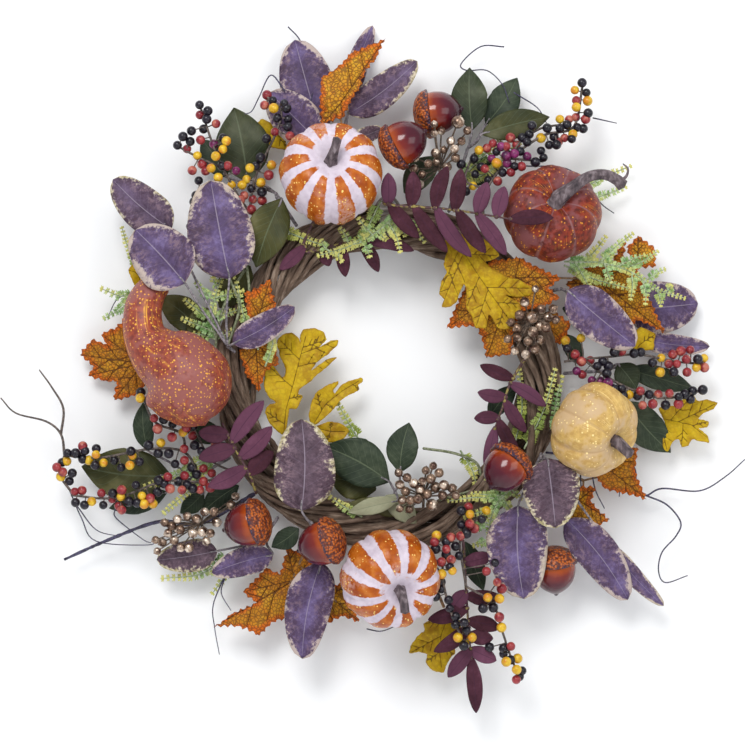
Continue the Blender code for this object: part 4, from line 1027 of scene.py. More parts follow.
def lobed_picks():
    """The maple and oak leaves on their petioles, and the few that fill in between."""
    maple = lobed_paint(
        "maple_leaf_paint", field=((0.46, 0.185, 0.009), (0.64, 0.33, 0.018), (0.62, 0.190, 0.008)),
        edge=(0.60, 0.105, 0.005), vein=(0.095, 0.028, 0.006), cell_scale=350, cell_share=0.68,
        rim_at=0.66, vein_width=0.95)
    oak = lobed_paint(
        "oak_leaf_paint", field=((0.34, 0.175, 0.003), (0.56, 0.36, 0.004), (0.66, 0.47, 0.010)),
        edge=(0.34, 0.17, 0.006), vein=(0.10, 0.050, 0.004), cell_scale=230, cell_share=0.12,
        rim_at=0.88, vein_width=0.72)
    petiole = wire_paint("lobed_petiole_paint", (0.14, 0.07, 0.03), (0.34, 0.20, 0.09))
    for index, (name, stem, blades) in enumerate(MAPLE + OAK):
        toothed = name.startswith("maple")
        dice = random.Random(300 + index)
        made, hub, routes = [], stem[-1], [places(stem)]
        for centre, outline, *spine in blades:
            made.append(lobed_blade(centre, outline, hub[:2], toothed, dice, *spine))
            if not spine:
                routes.append([place(*hub), place(*centre)])
        blade_object(name + "_blades", made, maple if toothed else oak,
                     name)
        wires(name + "_petioles", routes, [0.0014] + [0.0009] * (len(routes) - 1), petiole)
    dice = random.Random(55)
    for kind, loose, paint in (("oak", LOOSE_OAK, oak), ("maple", LOOSE_MAPLE, maple)):
        made = [lobed_blade(centre, outline, centre[:2], kind == "maple", dice) for centre, outline in loose]
        blade_object(kind + "_leaves_between", made, paint)


# Fronds

# A frond: its stem, its leaflets' width, and where along the stem each leaflet joins and where it ends
FRONDS = (
    ("frond_top", ((-4, 150, 46), (2, 146, 62), (50, 142, 72), (104, 132, 95)), 15,
     ((0.10, (0, 173, 64)), (0.12, (26, 118, 64)), (0.28, (21, 174, 68)), (0.30, (50, 106, 66)),
     (0.44, (50, 178, 72)), (0.45, (70, 102, 68)), (0.58, (61, 176, 74)), (0.60, (82, 105, 72)),
     (0.74, (83, 164, 80)), (0.74, (99, 103, 78)), (0.88, (97, 160, 86)), (0.98, (137, 133, 101)))),
    ("frond_inner_top", ((-62, 136, 46), (-72, 108, 47), (-44, 113, 48), (-16, 117, 48)), 13,
     ((0.30, (-92, 92, 47)), (0.55, (-50, 95, 48)), (0.72, (-36, 86, 48)), (0.92, (-8, 90, 48)),
     (0.98, (22, 108, 48)))),
    ("frond_inner_right", ((122, 26, 46), (104, -4, 50), (97, -25, 52), (90, -44, 52)), 13,
     ((0.40, (78, 11, 50)), (0.46, (134, -24, 50)), (0.62, (76, -12, 50)), (0.66, (117, -46, 52)),
     (0.86, (73, -34, 52)), (0.88, (111, -66, 54)), (0.98, (84, -82, 54)))),
    ("frond_left", ((-112, -98, 46), (-117, -82, 56), (-128, -62, 58), (-140, -38, 60)), 17,
     ((0.30, (-97, -62, 56)), (0.38, (-152, -92, 56)), (0.52, (-98, -41, 56)), (0.66, (-160, -68, 58)),
     (0.74, (-105, -19, 58)), (0.84, (-160, -46, 60)))),
    ("frond_bottom", ((64, -138, 46), (66, -176, 50), (68, -206, 50), (71, -240, 46)), 15,
     ((0.18, (88, -150, 50)), (0.42, (54, -196, 50)), (0.46, (96, -186, 50)), (0.56, (34, -205, 50)),
     (0.66, (95, -212, 50)), (0.72, (39, -232, 50)), (0.78, (89, -221, 50)), (0.90, (51, -254, 46)),
     (0.90, (92, -240, 46)), (0.98, (75, -285, 40)))),
)


def spans_of(route):
    return [(b - a).length for a, b in zip(route, route[1:])]


def along_route(route, share):
    """The point at this share of the route's length."""
    spans = spans_of(route)
    left = share * sum(spans)
    for index, span in enumerate(spans):
        if left <= span or index == len(spans) - 1:
            return route[index].lerp(route[index + 1], min(left / span, 1))
        left -= span


def knob(centre, radius, sides=8, rows=5):
    """(verts, faces) of a small round bead."""
    verts = []
    for row in range(rows + 1):
        polar = math.pi * row / rows
        for turn in turns(sides):
            flat = (math.sin(polar) * math.cos(turn), math.sin(polar) * math.sin(turn))
            verts.append(centre + radius * Vector((*flat, math.cos(polar))))
    return verts, [(a, d, c, b) for a, b, c, d in grid_faces(rows, sides)]


def fronds():
    """Leaflets along a rachis, each with a bead where it joins."""
    plum = frond_paint()
    joint = wire_paint("frond_rachis_paint", (0.075, 0.028, 0.035), (0.30, 0.24, 0.06), 260, (0.50, 0.62))
    for index, (name, stem, width, leaflets) in enumerate(FRONDS):
        dice = random.Random(500 + index)
        route = places(stem)
        made, beads = [], []
        for share, tip in leaflets:
            base, end = along_route(route, share), place(*tip)
            made.append(blade(base, end, width * MM * 0.9, OVAL, dice, dice.uniform(-14, 14), cols=8, rows=18,
                              wave=0.03))
            beads.append(knob(base - FRONT * 0.0004, 0.0020))
        blade_object(name + "_leaflets", made, plum, name)
        smooth = [point - FRONT * 0.0012 for point in smooth_route(route, 8)]
        verts, faces, _ = gather([tube_mesh(smooth, np.linspace(0.0014, 0.0008, len(smooth)), 7)] + beads)
        rachis = make_object(name + "_rachis", verts, faces, [joint])


# Cedar: flat feathery sprays

# A spray: its depth, its leaflets' length, the ends of its side stems, and its main stem
CEDAR = (
    ("cedar_spray_top", 53, 7.5, ((30, 116), (14, 122), (10, 108), (-2, 118), (-16, 104), (-22, 120),
     (-40, 100), (-56, 116), (-40, 126), (-24, 134), (16, 132)), ((10, 142, 50), (-4, 128, 53),
     (-26, 114, 54), (-58, 104, 52))),
    ("cedar_spray_left", 42, 7.5, ((-132, 86), (-148, 84), (-162, 80), (-172, 66), (-174, 50), (-164, 38),
     (-134, 40), (-128, 58), (-124, 74)), ((-146, 30, 40), (-150, 52, 42), (-146, 72, 42), (-140, 92, 40))),
    ("cedar_spray_right", 48, 7.0, ((184, 119), (192, 107), (207, 122), (216, 104), (228, 107), (234, 92),
     (174, 71), (189, 82), (206, 68), (218, 64), (231, 62), (240, 78)), ((150, 99, 44), (180, 98, 48),
     (206, 90, 50), (227, 76, 49), (251, 68, 46))),
    ("cedar_spray_bottom", 47, 7.0, ((112, -102), (108, -118), (104, -132), (74, -142), (64, -134),
     (66, -118), (52, -104), (72, -98), (84, -86)), ((106, -92, 46), (92, -108, 48), (86, -128, 48),
     (88, -152, 44))),
)
# Sprigs that no solid stands for: the stem, and the leaflets' length
SPRIGS = (
    (((-214, 74, 26), (-228, 70, 24), (-244, 76, 22)), 7),
    (((-214, 74, 26), (-228, 60, 24), (-242, 52, 22)), 6),
    (((-212, 90, 28), (-222, 110, 24), (-228, 128, 20)), 5),
    (((-150, -66, 36), (-178, -82, 36), (-206, -92, 34)), 7),
    (((-150, -66, 36), (-166, -92, 38), (-190, -114, 34)), 6),
    (((-134, -150, 22), (-160, -168, 20), (-192, -172, 18)), 7),
    (((-110, -140, 24), (-134, -164, 20), (-150, -184, 18)), 6),
    (((60, 168, 40), (78, 186, 38), (100, 208, 32)), 7), (((60, 168, 40), (86, 176, 36), (112, 200, 30)), 6),
    (((160, 158, 22), (184, 172, 16), (208, 182, 12)), 6),
    (((160, 150, 22), (188, 158, 16), (204, 164, 12)), 6),
    (((116, -60, 42), (132, -28, 44), (142, 6, 40)), 7), (((108, -56, 40), (114, -26, 42), (112, 6, 38)), 6),
    (((146, -52, 38), (142, -30, 38), (148, 0, 34)), 6),
    (((-24, -54, 18), (-34, -38, 20), (-44, -20, 20)), 6),
    (((-22, -118, 44), (-36, -110, 46), (-48, -102, 46)), 6),
    (((-110, 24, 50), (-122, 52, 50), (-128, 80, 50)), 6),
    (((-104, 10, 50), (-98, 30, 52), (-104, 52, 52)), 5),
    (((-6, 150, 52), (-24, 118, 54), (-50, 104, 52)), 7), (((62, -62, 30), (72, -78, 34), (76, -96, 36)), 6),
    (((150, 96, 40), (176, 84, 44), (206, 76, 44)), 6),
    (((-90, 126, 40), (-70, 118, 44), (-52, 112, 46)), 6),
)


def cedar_paint():
    """Mint green turning yellow towards the tips: the blade value holds (0, how near a tip, tone)."""
    shader = Shader("cedar_paint", roughness=0.6, specular=0.35)
    near_tip = shader.attribute("blade", 1)
    tone = shader.attribute("blade", 2)
    fine = shader.noise(300, 3)
    mint = shader.mix(shader.step(fine, 0.35, 0.65), (0.140, 0.290, 0.075), (0.500, 0.690, 0.340))
    mint = shader.mix(shader.step(tone, 0.35, 0.80), mint, (0.300, 0.380, 0.060))
    gold = shader.mix(fine, (0.46, 0.44, 0.04), (0.90, 0.86, 0.36))
    turn = shader.ragged(near_tip, shader.noise(40, 2), 1.6)
    shader.to("Base Color", shader.mix(shader.step(turn, 0.42, 0.85), mint, gold))
    shader.bump(fine, 0.3, 0.0004)
    return shader.material


def needle(base, tip, width, face, value):
    """A small pointed leaflet with a fold: (verts, faces, values)."""
    side = (tip - base).normalized().cross(face) * width / 2
    middle = base.lerp(tip, 0.40)
    shoulder = base.lerp(tip, 0.75)
    lift = face * width * 0.22
    verts = [base, middle - side + lift, shoulder - side * 0.75, tip, shoulder + side * 0.75,
             middle + side + lift, middle - lift]
    faces = [(0, 1, 6), (1, 2, 6), (2, 3, 6), (3, 4, 6), (4, 5, 6), (5, 0, 6)]
    return verts, faces, [value] * 7


# Where each small lobe leaves its leaflet, and how far it spreads to a side
NEEDLE_LOBES = ((0.26, 0.85), (0.34, -0.85), (0.54, 0.7), (0.62, -0.7))


def feather(route, length, dice, tone):
    """Leaflets in opposite pairs along a stem, each with its own small lobes."""
    made = []
    length *= 1.4
    count = max(3, int(sum(spans_of(route)) / (0.58 * length * MM)))
    for number in range(1, count + 1):
        share = number / count
        here = along_route(route, share * 0.999)
        ahead = along_route(route, min(1, share + 0.05)) - along_route(route, max(0, share - 0.05))
        ahead.normalize()
        face = (FRONT - ahead * FRONT.dot(ahead)).normalized()
        face = Matrix.Rotation(dice.uniform(-0.4, 0.4), 3, ahead) @ face
        across = ahead.cross(face)
        reach = length * MM * (1.25 - 0.72 * share) * dice.uniform(0.8, 1.15)
        if number == count:
            made.append(needle(here, here + ahead * reach * 0.9, 0.0014, face, (0, 1.0, tone)))
        for way in (-1, 1):
            heading = (ahead * 1.05 + across * way + face * dice.uniform(-0.15, 0.3)).normalized()
            tip = here + heading * reach
            width = 0.0017 * min(1, 0.4 + 100 * reach * 0.7)
            made.append(needle(here, tip, width, face, (0, 0.35 + 0.5 * share, tone)))
            for lobe, spread in NEEDLE_LOBES[:4 if share < 0.5 else 2]:
                root = here.lerp(tip, lobe)
                bent = (heading + heading.cross(face) * spread).normalized()
                size = reach * 0.60 * (1.15 - lobe)
                made.append(needle(root, root + bent * size, min(0.0015, 0.42 * size), face,
                                   (0, 0.45 + 0.55 * share, tone)))
    return made


CEDAR_THICKNESS = 0.0004
CEDAR_STEM = (0.0009, 0.0004)


def cedar_sprays():
    """Feathers on side stems that leave a main stem, and the loose sprigs."""
    paint = cedar_paint()
    stem = wire_paint("cedar_stem_paint", (0.20, 0.26, 0.12), (0.46, 0.54, 0.34))
    for index, (name, depth, length, tips, spine) in enumerate(CEDAR):
        dice = random.Random(700 + index)
        main = smooth_route(places(spine), 6)
        made, routes = feather(main, length * 0.62, dice, 0.3), [main]
        whole = sum(spans_of(main))
        for tip in tips:
            end = place(*tip, depth + dice.uniform(-3, 6))
            nearest = min(range(len(main)), key=lambda i: (main[i] - end).length)
            share = nearest / (len(main) - 1) - 0.5 * (main[nearest] - end).length / whole
            root = along_route(main, max(0.04, share))
            bow = root.lerp(end, 0.5) + Vector((dice.uniform(-2, 2), -0.5, dice.uniform(-2, 2))) * MM
            route = smooth_route([root, bow, end], 4)
            routes.append(route)
            made += feather(route, length * 0.62, dice, dice.uniform(0, 0.6))
        blade_object(name + "_leaflets", made, paint, name, CEDAR_THICKNESS)
        wires(name + "_stems", routes, [CEDAR_STEM] * len(routes), stem, sides=5)
    dice = random.Random(750)
    made, routes = [], []
    for stem_plan, length in SPRIGS:
        route = smooth_route(places(stem_plan), 5)
        routes.append(route)
        made += feather(route, length * 0.82, dice, dice.uniform(0.1, 0.9))
    blade_object("cedar_sprigs_leaflets", made, paint, thickness=CEDAR_THICKNESS)
    wires("cedar_sprigs_stems", routes, [CEDAR_STEM] * len(routes), stem, sides=5)


# Berries

def berry_paint(name, dark, light, blush_and_highlight=None, metallic=0.0, roughness=0.28):
    """Lacquered clay: a mottled skin with fine pits and soft patches of a third tone, a blush on the gold and
    plum berries and a painted highlight on the rose and bronze ones.
    """
    shader = Shader(name, roughness=roughness, metallic=metallic, specular=0.4, coat=0.15)
    broad = shader.noise(190, 3)
    fine = shader.noise(900, 3)
    skin = shader.mix(shader.step(broad, 0.36, 0.66), dark, light)
    # Soft patches of the third tone: painted highlights on the rose and bronze berries, a blush on the gold
    # and plum ones.
    if blush_and_highlight:
        skin = shader.mix(shader.step(shader.noise(120, 2), 0.50, 0.66), skin, blush_and_highlight)
    shader.to("Base Color", skin)
    shader.to("Roughness", shader.scaled(fine, 0.25, roughness - 0.10))
    shader.bump(fine, 0.15, 0.0003)
    return shader.material


# Dark, light and patch tones of each berry colour; the pale pink patches of the rose berries are painted
# highlights.
BERRY_COLOURS = {
    "black": ((0.004, 0.003, 0.007), (0.014, 0.010, 0.020), None),
    "rose": ((0.20, 0.012, 0.022), (0.35, 0.038, 0.042), (0.50, 0.15, 0.10)),
    "gold": ((0.58, 0.31, 0.008), (0.80, 0.52, 0.03), (0.66, 0.26, 0.02)),
    "plum": ((0.13, 0.010, 0.065), (0.30, 0.035, 0.17), (0.06, 0.012, 0.05)),
}
# A spray: its arms, its bare tendrils, and where its berries of each colour are, across and up
BERRY_SPRAYS = (
    ("berry_spray_upper_left",
     (((-92, 121, 44), (-118, 142, 42), (-140, 178, 46), (-150, 202, 44), (-160, 232, 40)),
      ((-140, 178, 46), (-162, 188, 44), (-180, 198, 42)), ((-118, 142, 42), (-160, 158, 42),
      (-167, 130, 42)), ((-118, 142, 42), (-112, 172, 46), (-96, 206, 46), (-91, 228, 44), (-105, 241, 42))),
      (),
     {"black": ((-160, 232), (-153, 227), (-154, 220), (-157, 212), (-167, 210), (-174, 205), (-168, 201),
      (-179, 198), (-140, 204), (-141, 180), (-161, 168), (-158, 160), (-163, 155), (-165, 150), (-166, 137),
      (-168, 129), (-98, 236), (-88, 233), (-86, 229), (-94, 221), (-85, 220), (-85, 213), (-103, 203),
      (-108, 187), (-112, 180), (-116, 161), (-107, 158), (-113, 128)),
     "rose": ((-160, 224), (-146, 216), (-159, 202), (-171, 195), (-158, 182), (-155, 176), (-166, 176),
      (-136, 180), (-103, 241), (-105, 232), (-96, 209), (-83, 205), (-101, 172), (-122, 155), (-115, 152),
      (-107, 151), (-125, 151), (-116, 143)),
     "gold": ((-137, 201), (-140, 194), (-146, 188), (-162, 189), (-150, 178), (-144, 170), (-124, 164),
      (-97, 229), (-99, 181), (-117, 178), (-120, 169), (-108, 166), (-133, 164)),
     "plum": ((-148, 199), (-129, 176))}),
    ("berry_spray_left",
     (((-128, -81, 44), (-160, -88, 40), (-192, -88, 44), (-232, -102, 40), (-270, -100, 36)),
      ((-160, -88, 40), (-172, -64, 40), (-200, -60, 46), (-246, -68, 40), (-276, -66, 34)),
      ((-172, -64, 40), (-176, -47, 46), (-198, -37, 48), (-209, -14, 44)), ((-128, -81, 44),
      (-150, -70, 46), (-162, -48, 46)), ((-276, -66, 34), (-280, -82, 34), (-268, -100, 34))),
      (((-276, -66, 34), (-279, -48, 34), (-292, -37, 32), (-318, -30, 30), (-331, -17, 30)),
      ((-279, -48, 34), (-277, -26, 34), (-287, -8, 32), (-298, 7, 30))),
     {"black": ((-258, -62), (-248, -60), (-273, -64), (-266, -64), (-260, -69), (-278, -72), (-249, -74),
      (-269, -81), (-272, -88), (-233, -70), (-227, -76), (-218, -62), (-211, -71), (-266, -106),
      (-258, -108), (-242, -108), (-234, -98), (-214, -91), (-220, -105), (-213, -106), (-196, -97),
      (-195, -87), (-190, -90), (-203, -57), (-195, -64), (-186, -64), (-190, -35), (-183, -39), (-165, -41),
      (-181, -73), (-164, -57), (-158, -62), (-167, -76), (-163, -82), (-178, -88), (-171, -91), (-166, -94),
      (-143, -90), (-140, -58), (-210, -12), (-204, -19)),
     "rose": ((-260, -58), (-282, -76), (-277, -80), (-267, -97), (-261, -96), (-244, -98), (-235, -103),
      (-229, -109), (-226, -112), (-226, -95), (-202, -102), (-187, -84), (-185, -94), (-175, -95),
      (-173, -83), (-198, -34), (-195, -43), (-183, -50), (-171, -42), (-166, -49), (-173, -60), (-173, -70),
      (-157, -77), (-150, -81), (-157, -88), (-160, -95), (-151, -93), (-146, -56)),
     "gold": ((-248, -65), (-255, -70), (-274, -71), (-242, -72), (-279, -84), (-219, -74), (-217, -66),
      (-252, -105), (-227, -101), (-209, -100), (-207, -107), (-200, -107), (-193, -55), (-174, -46),
      (-210, -17))}),
    ("berry_spray_upper_right",
     (((80, 130, 46), (84, 160, 50), (104, 186, 50), (132, 206, 46), (158, 214, 42), (166, 250, 38)),
      ((84, 160, 50), (66, 168, 50), (72, 190, 46)), ((104, 186, 50), (132, 184, 46)),
      ((104, 186, 50), (112, 200, 48), (130, 212, 46), (152, 216, 42))), (),
     {"black": ((165, 251), (169, 243), (170, 225), (161, 213), (166, 212), (152, 215), (146, 212),
      (135, 212), (141, 205), (143, 198), (137, 198), (156, 203), (122, 214), (120, 207), (114, 204),
      (118, 200), (112, 192), (130, 193), (132, 187), (125, 183), (92, 192), (107, 179), (73, 186),
      (79, 179), (97, 174), (85, 168), (74, 173), (62, 181), (66, 158)),
     "gold": ((159, 245), (170, 236), (160, 230), (146, 220), (157, 207), (130, 204), (92, 182), (77, 193),
      (72, 163)),
     "rose": ((160, 236), (160, 222), (154, 220), (168, 220), (150, 204), (145, 201), (104, 204), (109, 198),
      (100, 196), (89, 199), (84, 195), (82, 177), (113, 179), (104, 174), (93, 167)),
     "plum": ((100, 188), (107, 190), (101, 182), (96, 196), (118, 188), (88, 186))}),
    ("berry_spray_right",
     (((150, 14, 42), (166, 16, 46), (188, 18, 46), (214, 20, 42), (246, 14, 36), (270, 12, 32)),
      ((166, 16, 46), (184, 2, 52), (208, -10, 46), (236, -17, 42), (270, -10, 36))), (),
     {"gold": ((151, 32), (164, 34), (205, -14), (233, 17), (232, 5), (270, 17), (263, 9)),
     "black": ((152, 25), (177, 10), (182, 14), (187, 10), (185, 4), (192, 22), (176, -15), (183, -16),
      (191, -9), (198, -9), (200, -15), (212, -15), (222, -14), (247, -16), (253, -14), (258, -18),
      (260, -11), (268, -10), (236, -23), (209, 21), (215, 22), (225, 13), (264, 16), (243, 5)),
     "rose": ((159, 20), (164, 14), (172, 15), (165, 3), (214, -11), (230, -14), (239, -13), (216, -23),
      (225, -22), (247, -22), (239, 12), (243, 20), (250, 23), (258, 24), (254, 16), (246, 12), (270, 9),
      (255, 5), (198, 23)),
     "plum": ((173, -2), (180, -3), (178, -10), (168, -14), (160, 6), (186, -4), (172, -8))}),
    ("berry_spray_bottom",
     (((60, -140, 60), (50, -140, 62), (46, -166, 64), (52, -194, 64), (63, -222, 58)),
      ((60, -140, 60), (70, -122, 58)), ((66, -176, 58), (88, -190, 58), (96, -212, 54), (104, -236, 50),
      (112, -254, 44)), ((60, -140, 60), (66, -176, 58))), (),
     {"black": ((62, -112), (62, -124), (66, -131), (79, -119), (40, -144), (49, -138), (57, -142),
      (49, -149), (60, -150), (38, -155), (39, -162), (52, -159), (38, -171), (45, -172), (45, -178),
      (40, -184), (51, -187), (52, -194), (57, -201), (64, -206), (57, -208), (66, -213), (64, -226),
      (90, -156), (80, -194), (89, -194), (98, -229), (86, -228), (98, -234), (104, -239), (114, -249),
      (112, -254)),
     "gold": ((69, -115), (83, -112), (41, -133), (54, -162), (45, -165), (59, -219), (71, -219), (84, -185),
      (94, -186), (96, -211), (110, -238), (100, -240), (109, -247)),
     "rose": ((68, -109), (69, -123), (73, -127), (61, -133), (39, -138), (53, -134), (49, -144), (45, -155),
      (53, -153), (83, -163), (92, -172), (96, -178), (94, -202), (104, -227), (109, -256))}),
)
# A cluster: its foot, its hub, the depth of its front, and its berries as (across, up, radius)
BRONZE = (
    ("bronze_berries_top", (42, 146, 44), (44, 178, 50), 62, ((39, 214, 3), (59, 216, 5.2), (45, 209, 3.4),
     (39, 207, 3), (67, 209, 3.4), (53, 200, 3.6), (56, 193, 3.6), (47, 193, 3.2), (40, 190, 3.8),
     (57, 186, 3.6), (23, 186, 3.2), (41, 183, 3.2), (34, 181, 3.4), (22, 177, 3.6), (29, 172, 3.2),
     (27, 164, 3.4), (50, 178, 3.6), (62, 200, 3.4), (48, 170, 3.2))),
    ("bronze_berries_right", (116, 56, 48), (120, 48, 60), 66, ((115, 64, 4), (104, 47, 3.6), (111, 53, 4.2),
     (121, 51, 4.8), (135, 51, 4), (139, 58, 3.8), (141, 49, 3.4), (127, 44, 3.8), (109, 42, 3.6),
     (133, 42, 4), (101, 33, 3.4), (109, 34, 3.6), (118, 31, 3.8), (128, 32, 4), (107, 23, 3.4),
     (116, 20, 3.6), (122, 39, 4.2), (124, 24, 3.6), (124, 75, 3), (129, 58, 3.8))),
    ("bronze_berries_inner_bottom", (30, -110, 46), (30, -100, 54), 64, ((9, -80, 3.4), (16, -84, 3.6),
     (10, -90, 3.8), (15, -96, 3.8), (22, -89, 4), (27, -94, 3.8), (12, -103, 3.6), (19, -103, 3.8),
     (10, -110, 3.2), (18, -111, 3.4), (37, -107, 4.8), (38, -74, 3.2), (32, -78, 3.4), (43, -80, 3.8),
     (36, -85, 4), (29, -87, 3.4), (40, -92, 4.2), (33, -98, 4), (46, -99, 3.8), (47, -90, 4),
     (54, -93, 3.8), (57, -99, 3.4), (25, -102, 4))),
    ("bronze_berries_lower_left", (-114, -99, 32), (-160, -124, 34), 44, ((-190, -123, 3.4),
     (-184, -126, 3.8), (-179, -120, 3.6), (-187, -132, 3.6), (-177, -129, 4), (-171, -118, 3.6),
     (-163, -120, 4), (-156, -114, 3.6), (-148, -114, 3.8), (-198, -138, 3.2), (-192, -140, 3.6),
     (-182, -138, 3.8), (-196, -147, 3), (-176, -144, 3.6), (-169, -144, 3.8), (-155, -139, 3.6),
     (-158, -131, 4), (-151, -132, 3.6), (-130, -101, 3.4), (-134, -108, 3.8), (-166, -132, 4),
     (-146, -123, 4))),
)


def nearest_on(arms, target):
    """The point of the arms that lies nearest a target as the front shows them."""
    found = []
    for arm in arms:
        for a, b in zip(arm, arm[1:]):
            span = b - a
            near = a + span * max(0, min(1, (target - a).dot(span) / span.length_squared))
            found.append((Vector((near.x - target.x, 0, near.z - target.z)).length, near))
    return min(found, key=lambda pair: pair[0])[1]


ARM_DEPTH = 44
BERRY_RADIUS = 0.0041


def berries():
    """Each berry is a bead on a twig from the nearest arm of its spray."""
    paints = [berry_paint("berry_paint_" + colour, *tones) for colour, tones in BERRY_COLOURS.items()]
    colours = list(BERRY_COLOURS)
    bark = wire_paint("berry_stem_paint", (0.045, 0.035, 0.030), (0.16, 0.12, 0.10))
    for index, (name, arms_plan, tendrils, groups) in enumerate(BERRY_SPRAYS):
        dice = random.Random(900 + index)
        arms = [smooth_route(places(arm), 6) for arm in arms_plan]
        parts, kinds, twigs = [], [], []
        for colour, spots in groups.items():
            for across, up in spots:
                root = nearest_on(arms, place(across, up, ARM_DEPTH))
                depth = (HINGE_DEPTH - root.y) / MM + dice.uniform(-3, 6)
                centre = place(across, up, depth)
                parts.append(knob(centre, BERRY_RADIUS * dice.uniform(0.90, 1.08), sides=16, rows=9))
                kinds.append(colours.index(colour))
                twigs.append([root, root.lerp(centre, 0.6) + FRONT * 0.0015, centre])
        verts, faces, owners = gather(parts)
        made = make_object(name + "_beads", verts, faces, paints, face_paints=[kinds[o] for o in owners])
        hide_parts(name)
        bare = [places(tendril) for tendril in tendrils]
        wires(name + "_stems", arms + bare + twigs,
              [0.0011] * len(arms) + [(0.0012, 0.0006)] * len(bare) + [0.00055] * len(twigs), bark, sides=6)


def bronze_berries():
    """Clusters whose twigs spread from one hub; each berry has a small bud at its tip."""
    # The pale champagne patch tone is a painted highlight on the bronze beads.
    paint = berry_paint("bronze_berry_paint", (0.08, 0.040, 0.028), (0.34, 0.225, 0.155), (0.82, 0.68, 0.55),
                        metallic=0.6, roughness=0.24)
    bark = wire_paint("bronze_stem_paint", (0.05, 0.035, 0.025), (0.20, 0.14, 0.10))
    for index, (name, foot, hub, front, spots) in enumerate(BRONZE):
        dice = random.Random(1000 + index)
        hub_point = place(*hub)
        parts, routes = [], [places((foot, hub))]
        for across, up, radius in spots:
            centre = place(across, up, front + dice.uniform(-8, 2))
            size = radius * MM * 1.08
            parts.append(knob(centre, size, sides=16, rows=9))
            toward = (centre - hub_point).normalized()
            parts.append(knob(centre + toward * size * 0.96, size * 0.22, sides=6, rows=3))
            routes.append([hub_point, hub_point.lerp(centre, 0.6) + FRONT * -0.003, centre])
        verts, faces, _ = gather(parts)
        made = make_object(name + "_beads", verts, faces, [paint])
        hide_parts(name)
        wires(name + "_stems", routes, [0.0012] + [0.0007] * len(spots), bark, sides=6)


# Vines and tendrils

def vine_paint(name, dark, middle, light):
    """Dry bark with a grain along each strand."""
    shader = Shader(name, roughness=0.85, specular=0.25)
    grain = shader.noise(120, 5, shader.stretched(shader.attribute_vector("grain"), (1.0, 1.0, 1.0)),
                         rough=0.65)
    blotch = shader.noise(60, 3)
    tone = shader.shared(grain, 0.6, blotch)
    shader.to("Base Color", shader.ramp(tone, ((0.32, dark), (0.52, middle), (0.70, light))))
    shader.bump(grain, 0.9, 0.0012)
    return shader.material


def strand(dice, orbit, start, sweep):
    """The route of a thin vine that winds round the ring's middle line, part of the way round the ring."""
    windings = dice.choice((2, 3, 3, 4)) * sweep / (2 * math.pi)
    lay = dice.uniform(0, 2 * math.pi)
    steps = max(12, int(96 * sweep / (2 * math.pi)))
    beat, phase = dice.randint(3, 6), dice.uniform(0, ANY_PHASE)
    route = []
    for step in range(steps + 1):
        share = step / steps
        angle = start + sweep * share
        reach = orbit * (1 + 0.16 * math.sin(beat * angle + phase))
        around = lay + 2 * math.pi * windings * share
        outward = Vector((math.cos(angle), 0, math.sin(angle)))
        middle = RING_CENTRE + Vector((0, HINGE_DEPTH - BUNDLE_DEPTH * MM, 0)) + outward * RING_RADIUS
        route.append(middle + outward * reach * math.cos(around) + FRONT * reach * math.sin(around))
    return route


STRANDS = 13
OUTER_STRANDS = 9
STRAND_SIDES = 10


def vines():
    """Three bundles of strands; each strand's vertices hold a place for its own stretched grain."""
    paint = vine_paint("grapevine_paint", (0.048, 0.028, 0.020), (0.175, 0.118, 0.084), (0.40, 0.31, 0.24))
    for letter in "abc":
        dice = random.Random(1100 + ord(letter))
        parts, grains = [], []
        for number in range(STRANDS):
            radius = dice.uniform(0.0017, 0.0033)
            orbit = BUNDLE_RADIUS - radius - (0.0004 if number < OUTER_STRANDS else 0.006)
            route = strand(dice, orbit, dice.uniform(0, 6.28), dice.uniform(4.6, 6.1))
            widths = [radius * (1 + 0.10 * math.sin(0.9 * k + number)) for k in range(len(route))]
            widths[0] = widths[-1] = radius * 0.5
            parts.append(tube_mesh(route, widths, STRAND_SIDES, ridges=4, ridge_depth=0.10, twist=0.05))
            grains += [(0.02 * ring * 0.35, 0.01 * math.cos(turn) + number, 0.01 * math.sin(turn))
                       for ring in range(len(route)) for turn in turns(STRAND_SIDES)]
            grains += [(0, number, 0)] * 2
        verts, faces, _ = gather(parts)
        made = make_object("vine_strands_" + letter, verts, faces, [paint])
        vertex_values(made, "grain", grains)
        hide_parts("vine_bundle_" + letter)


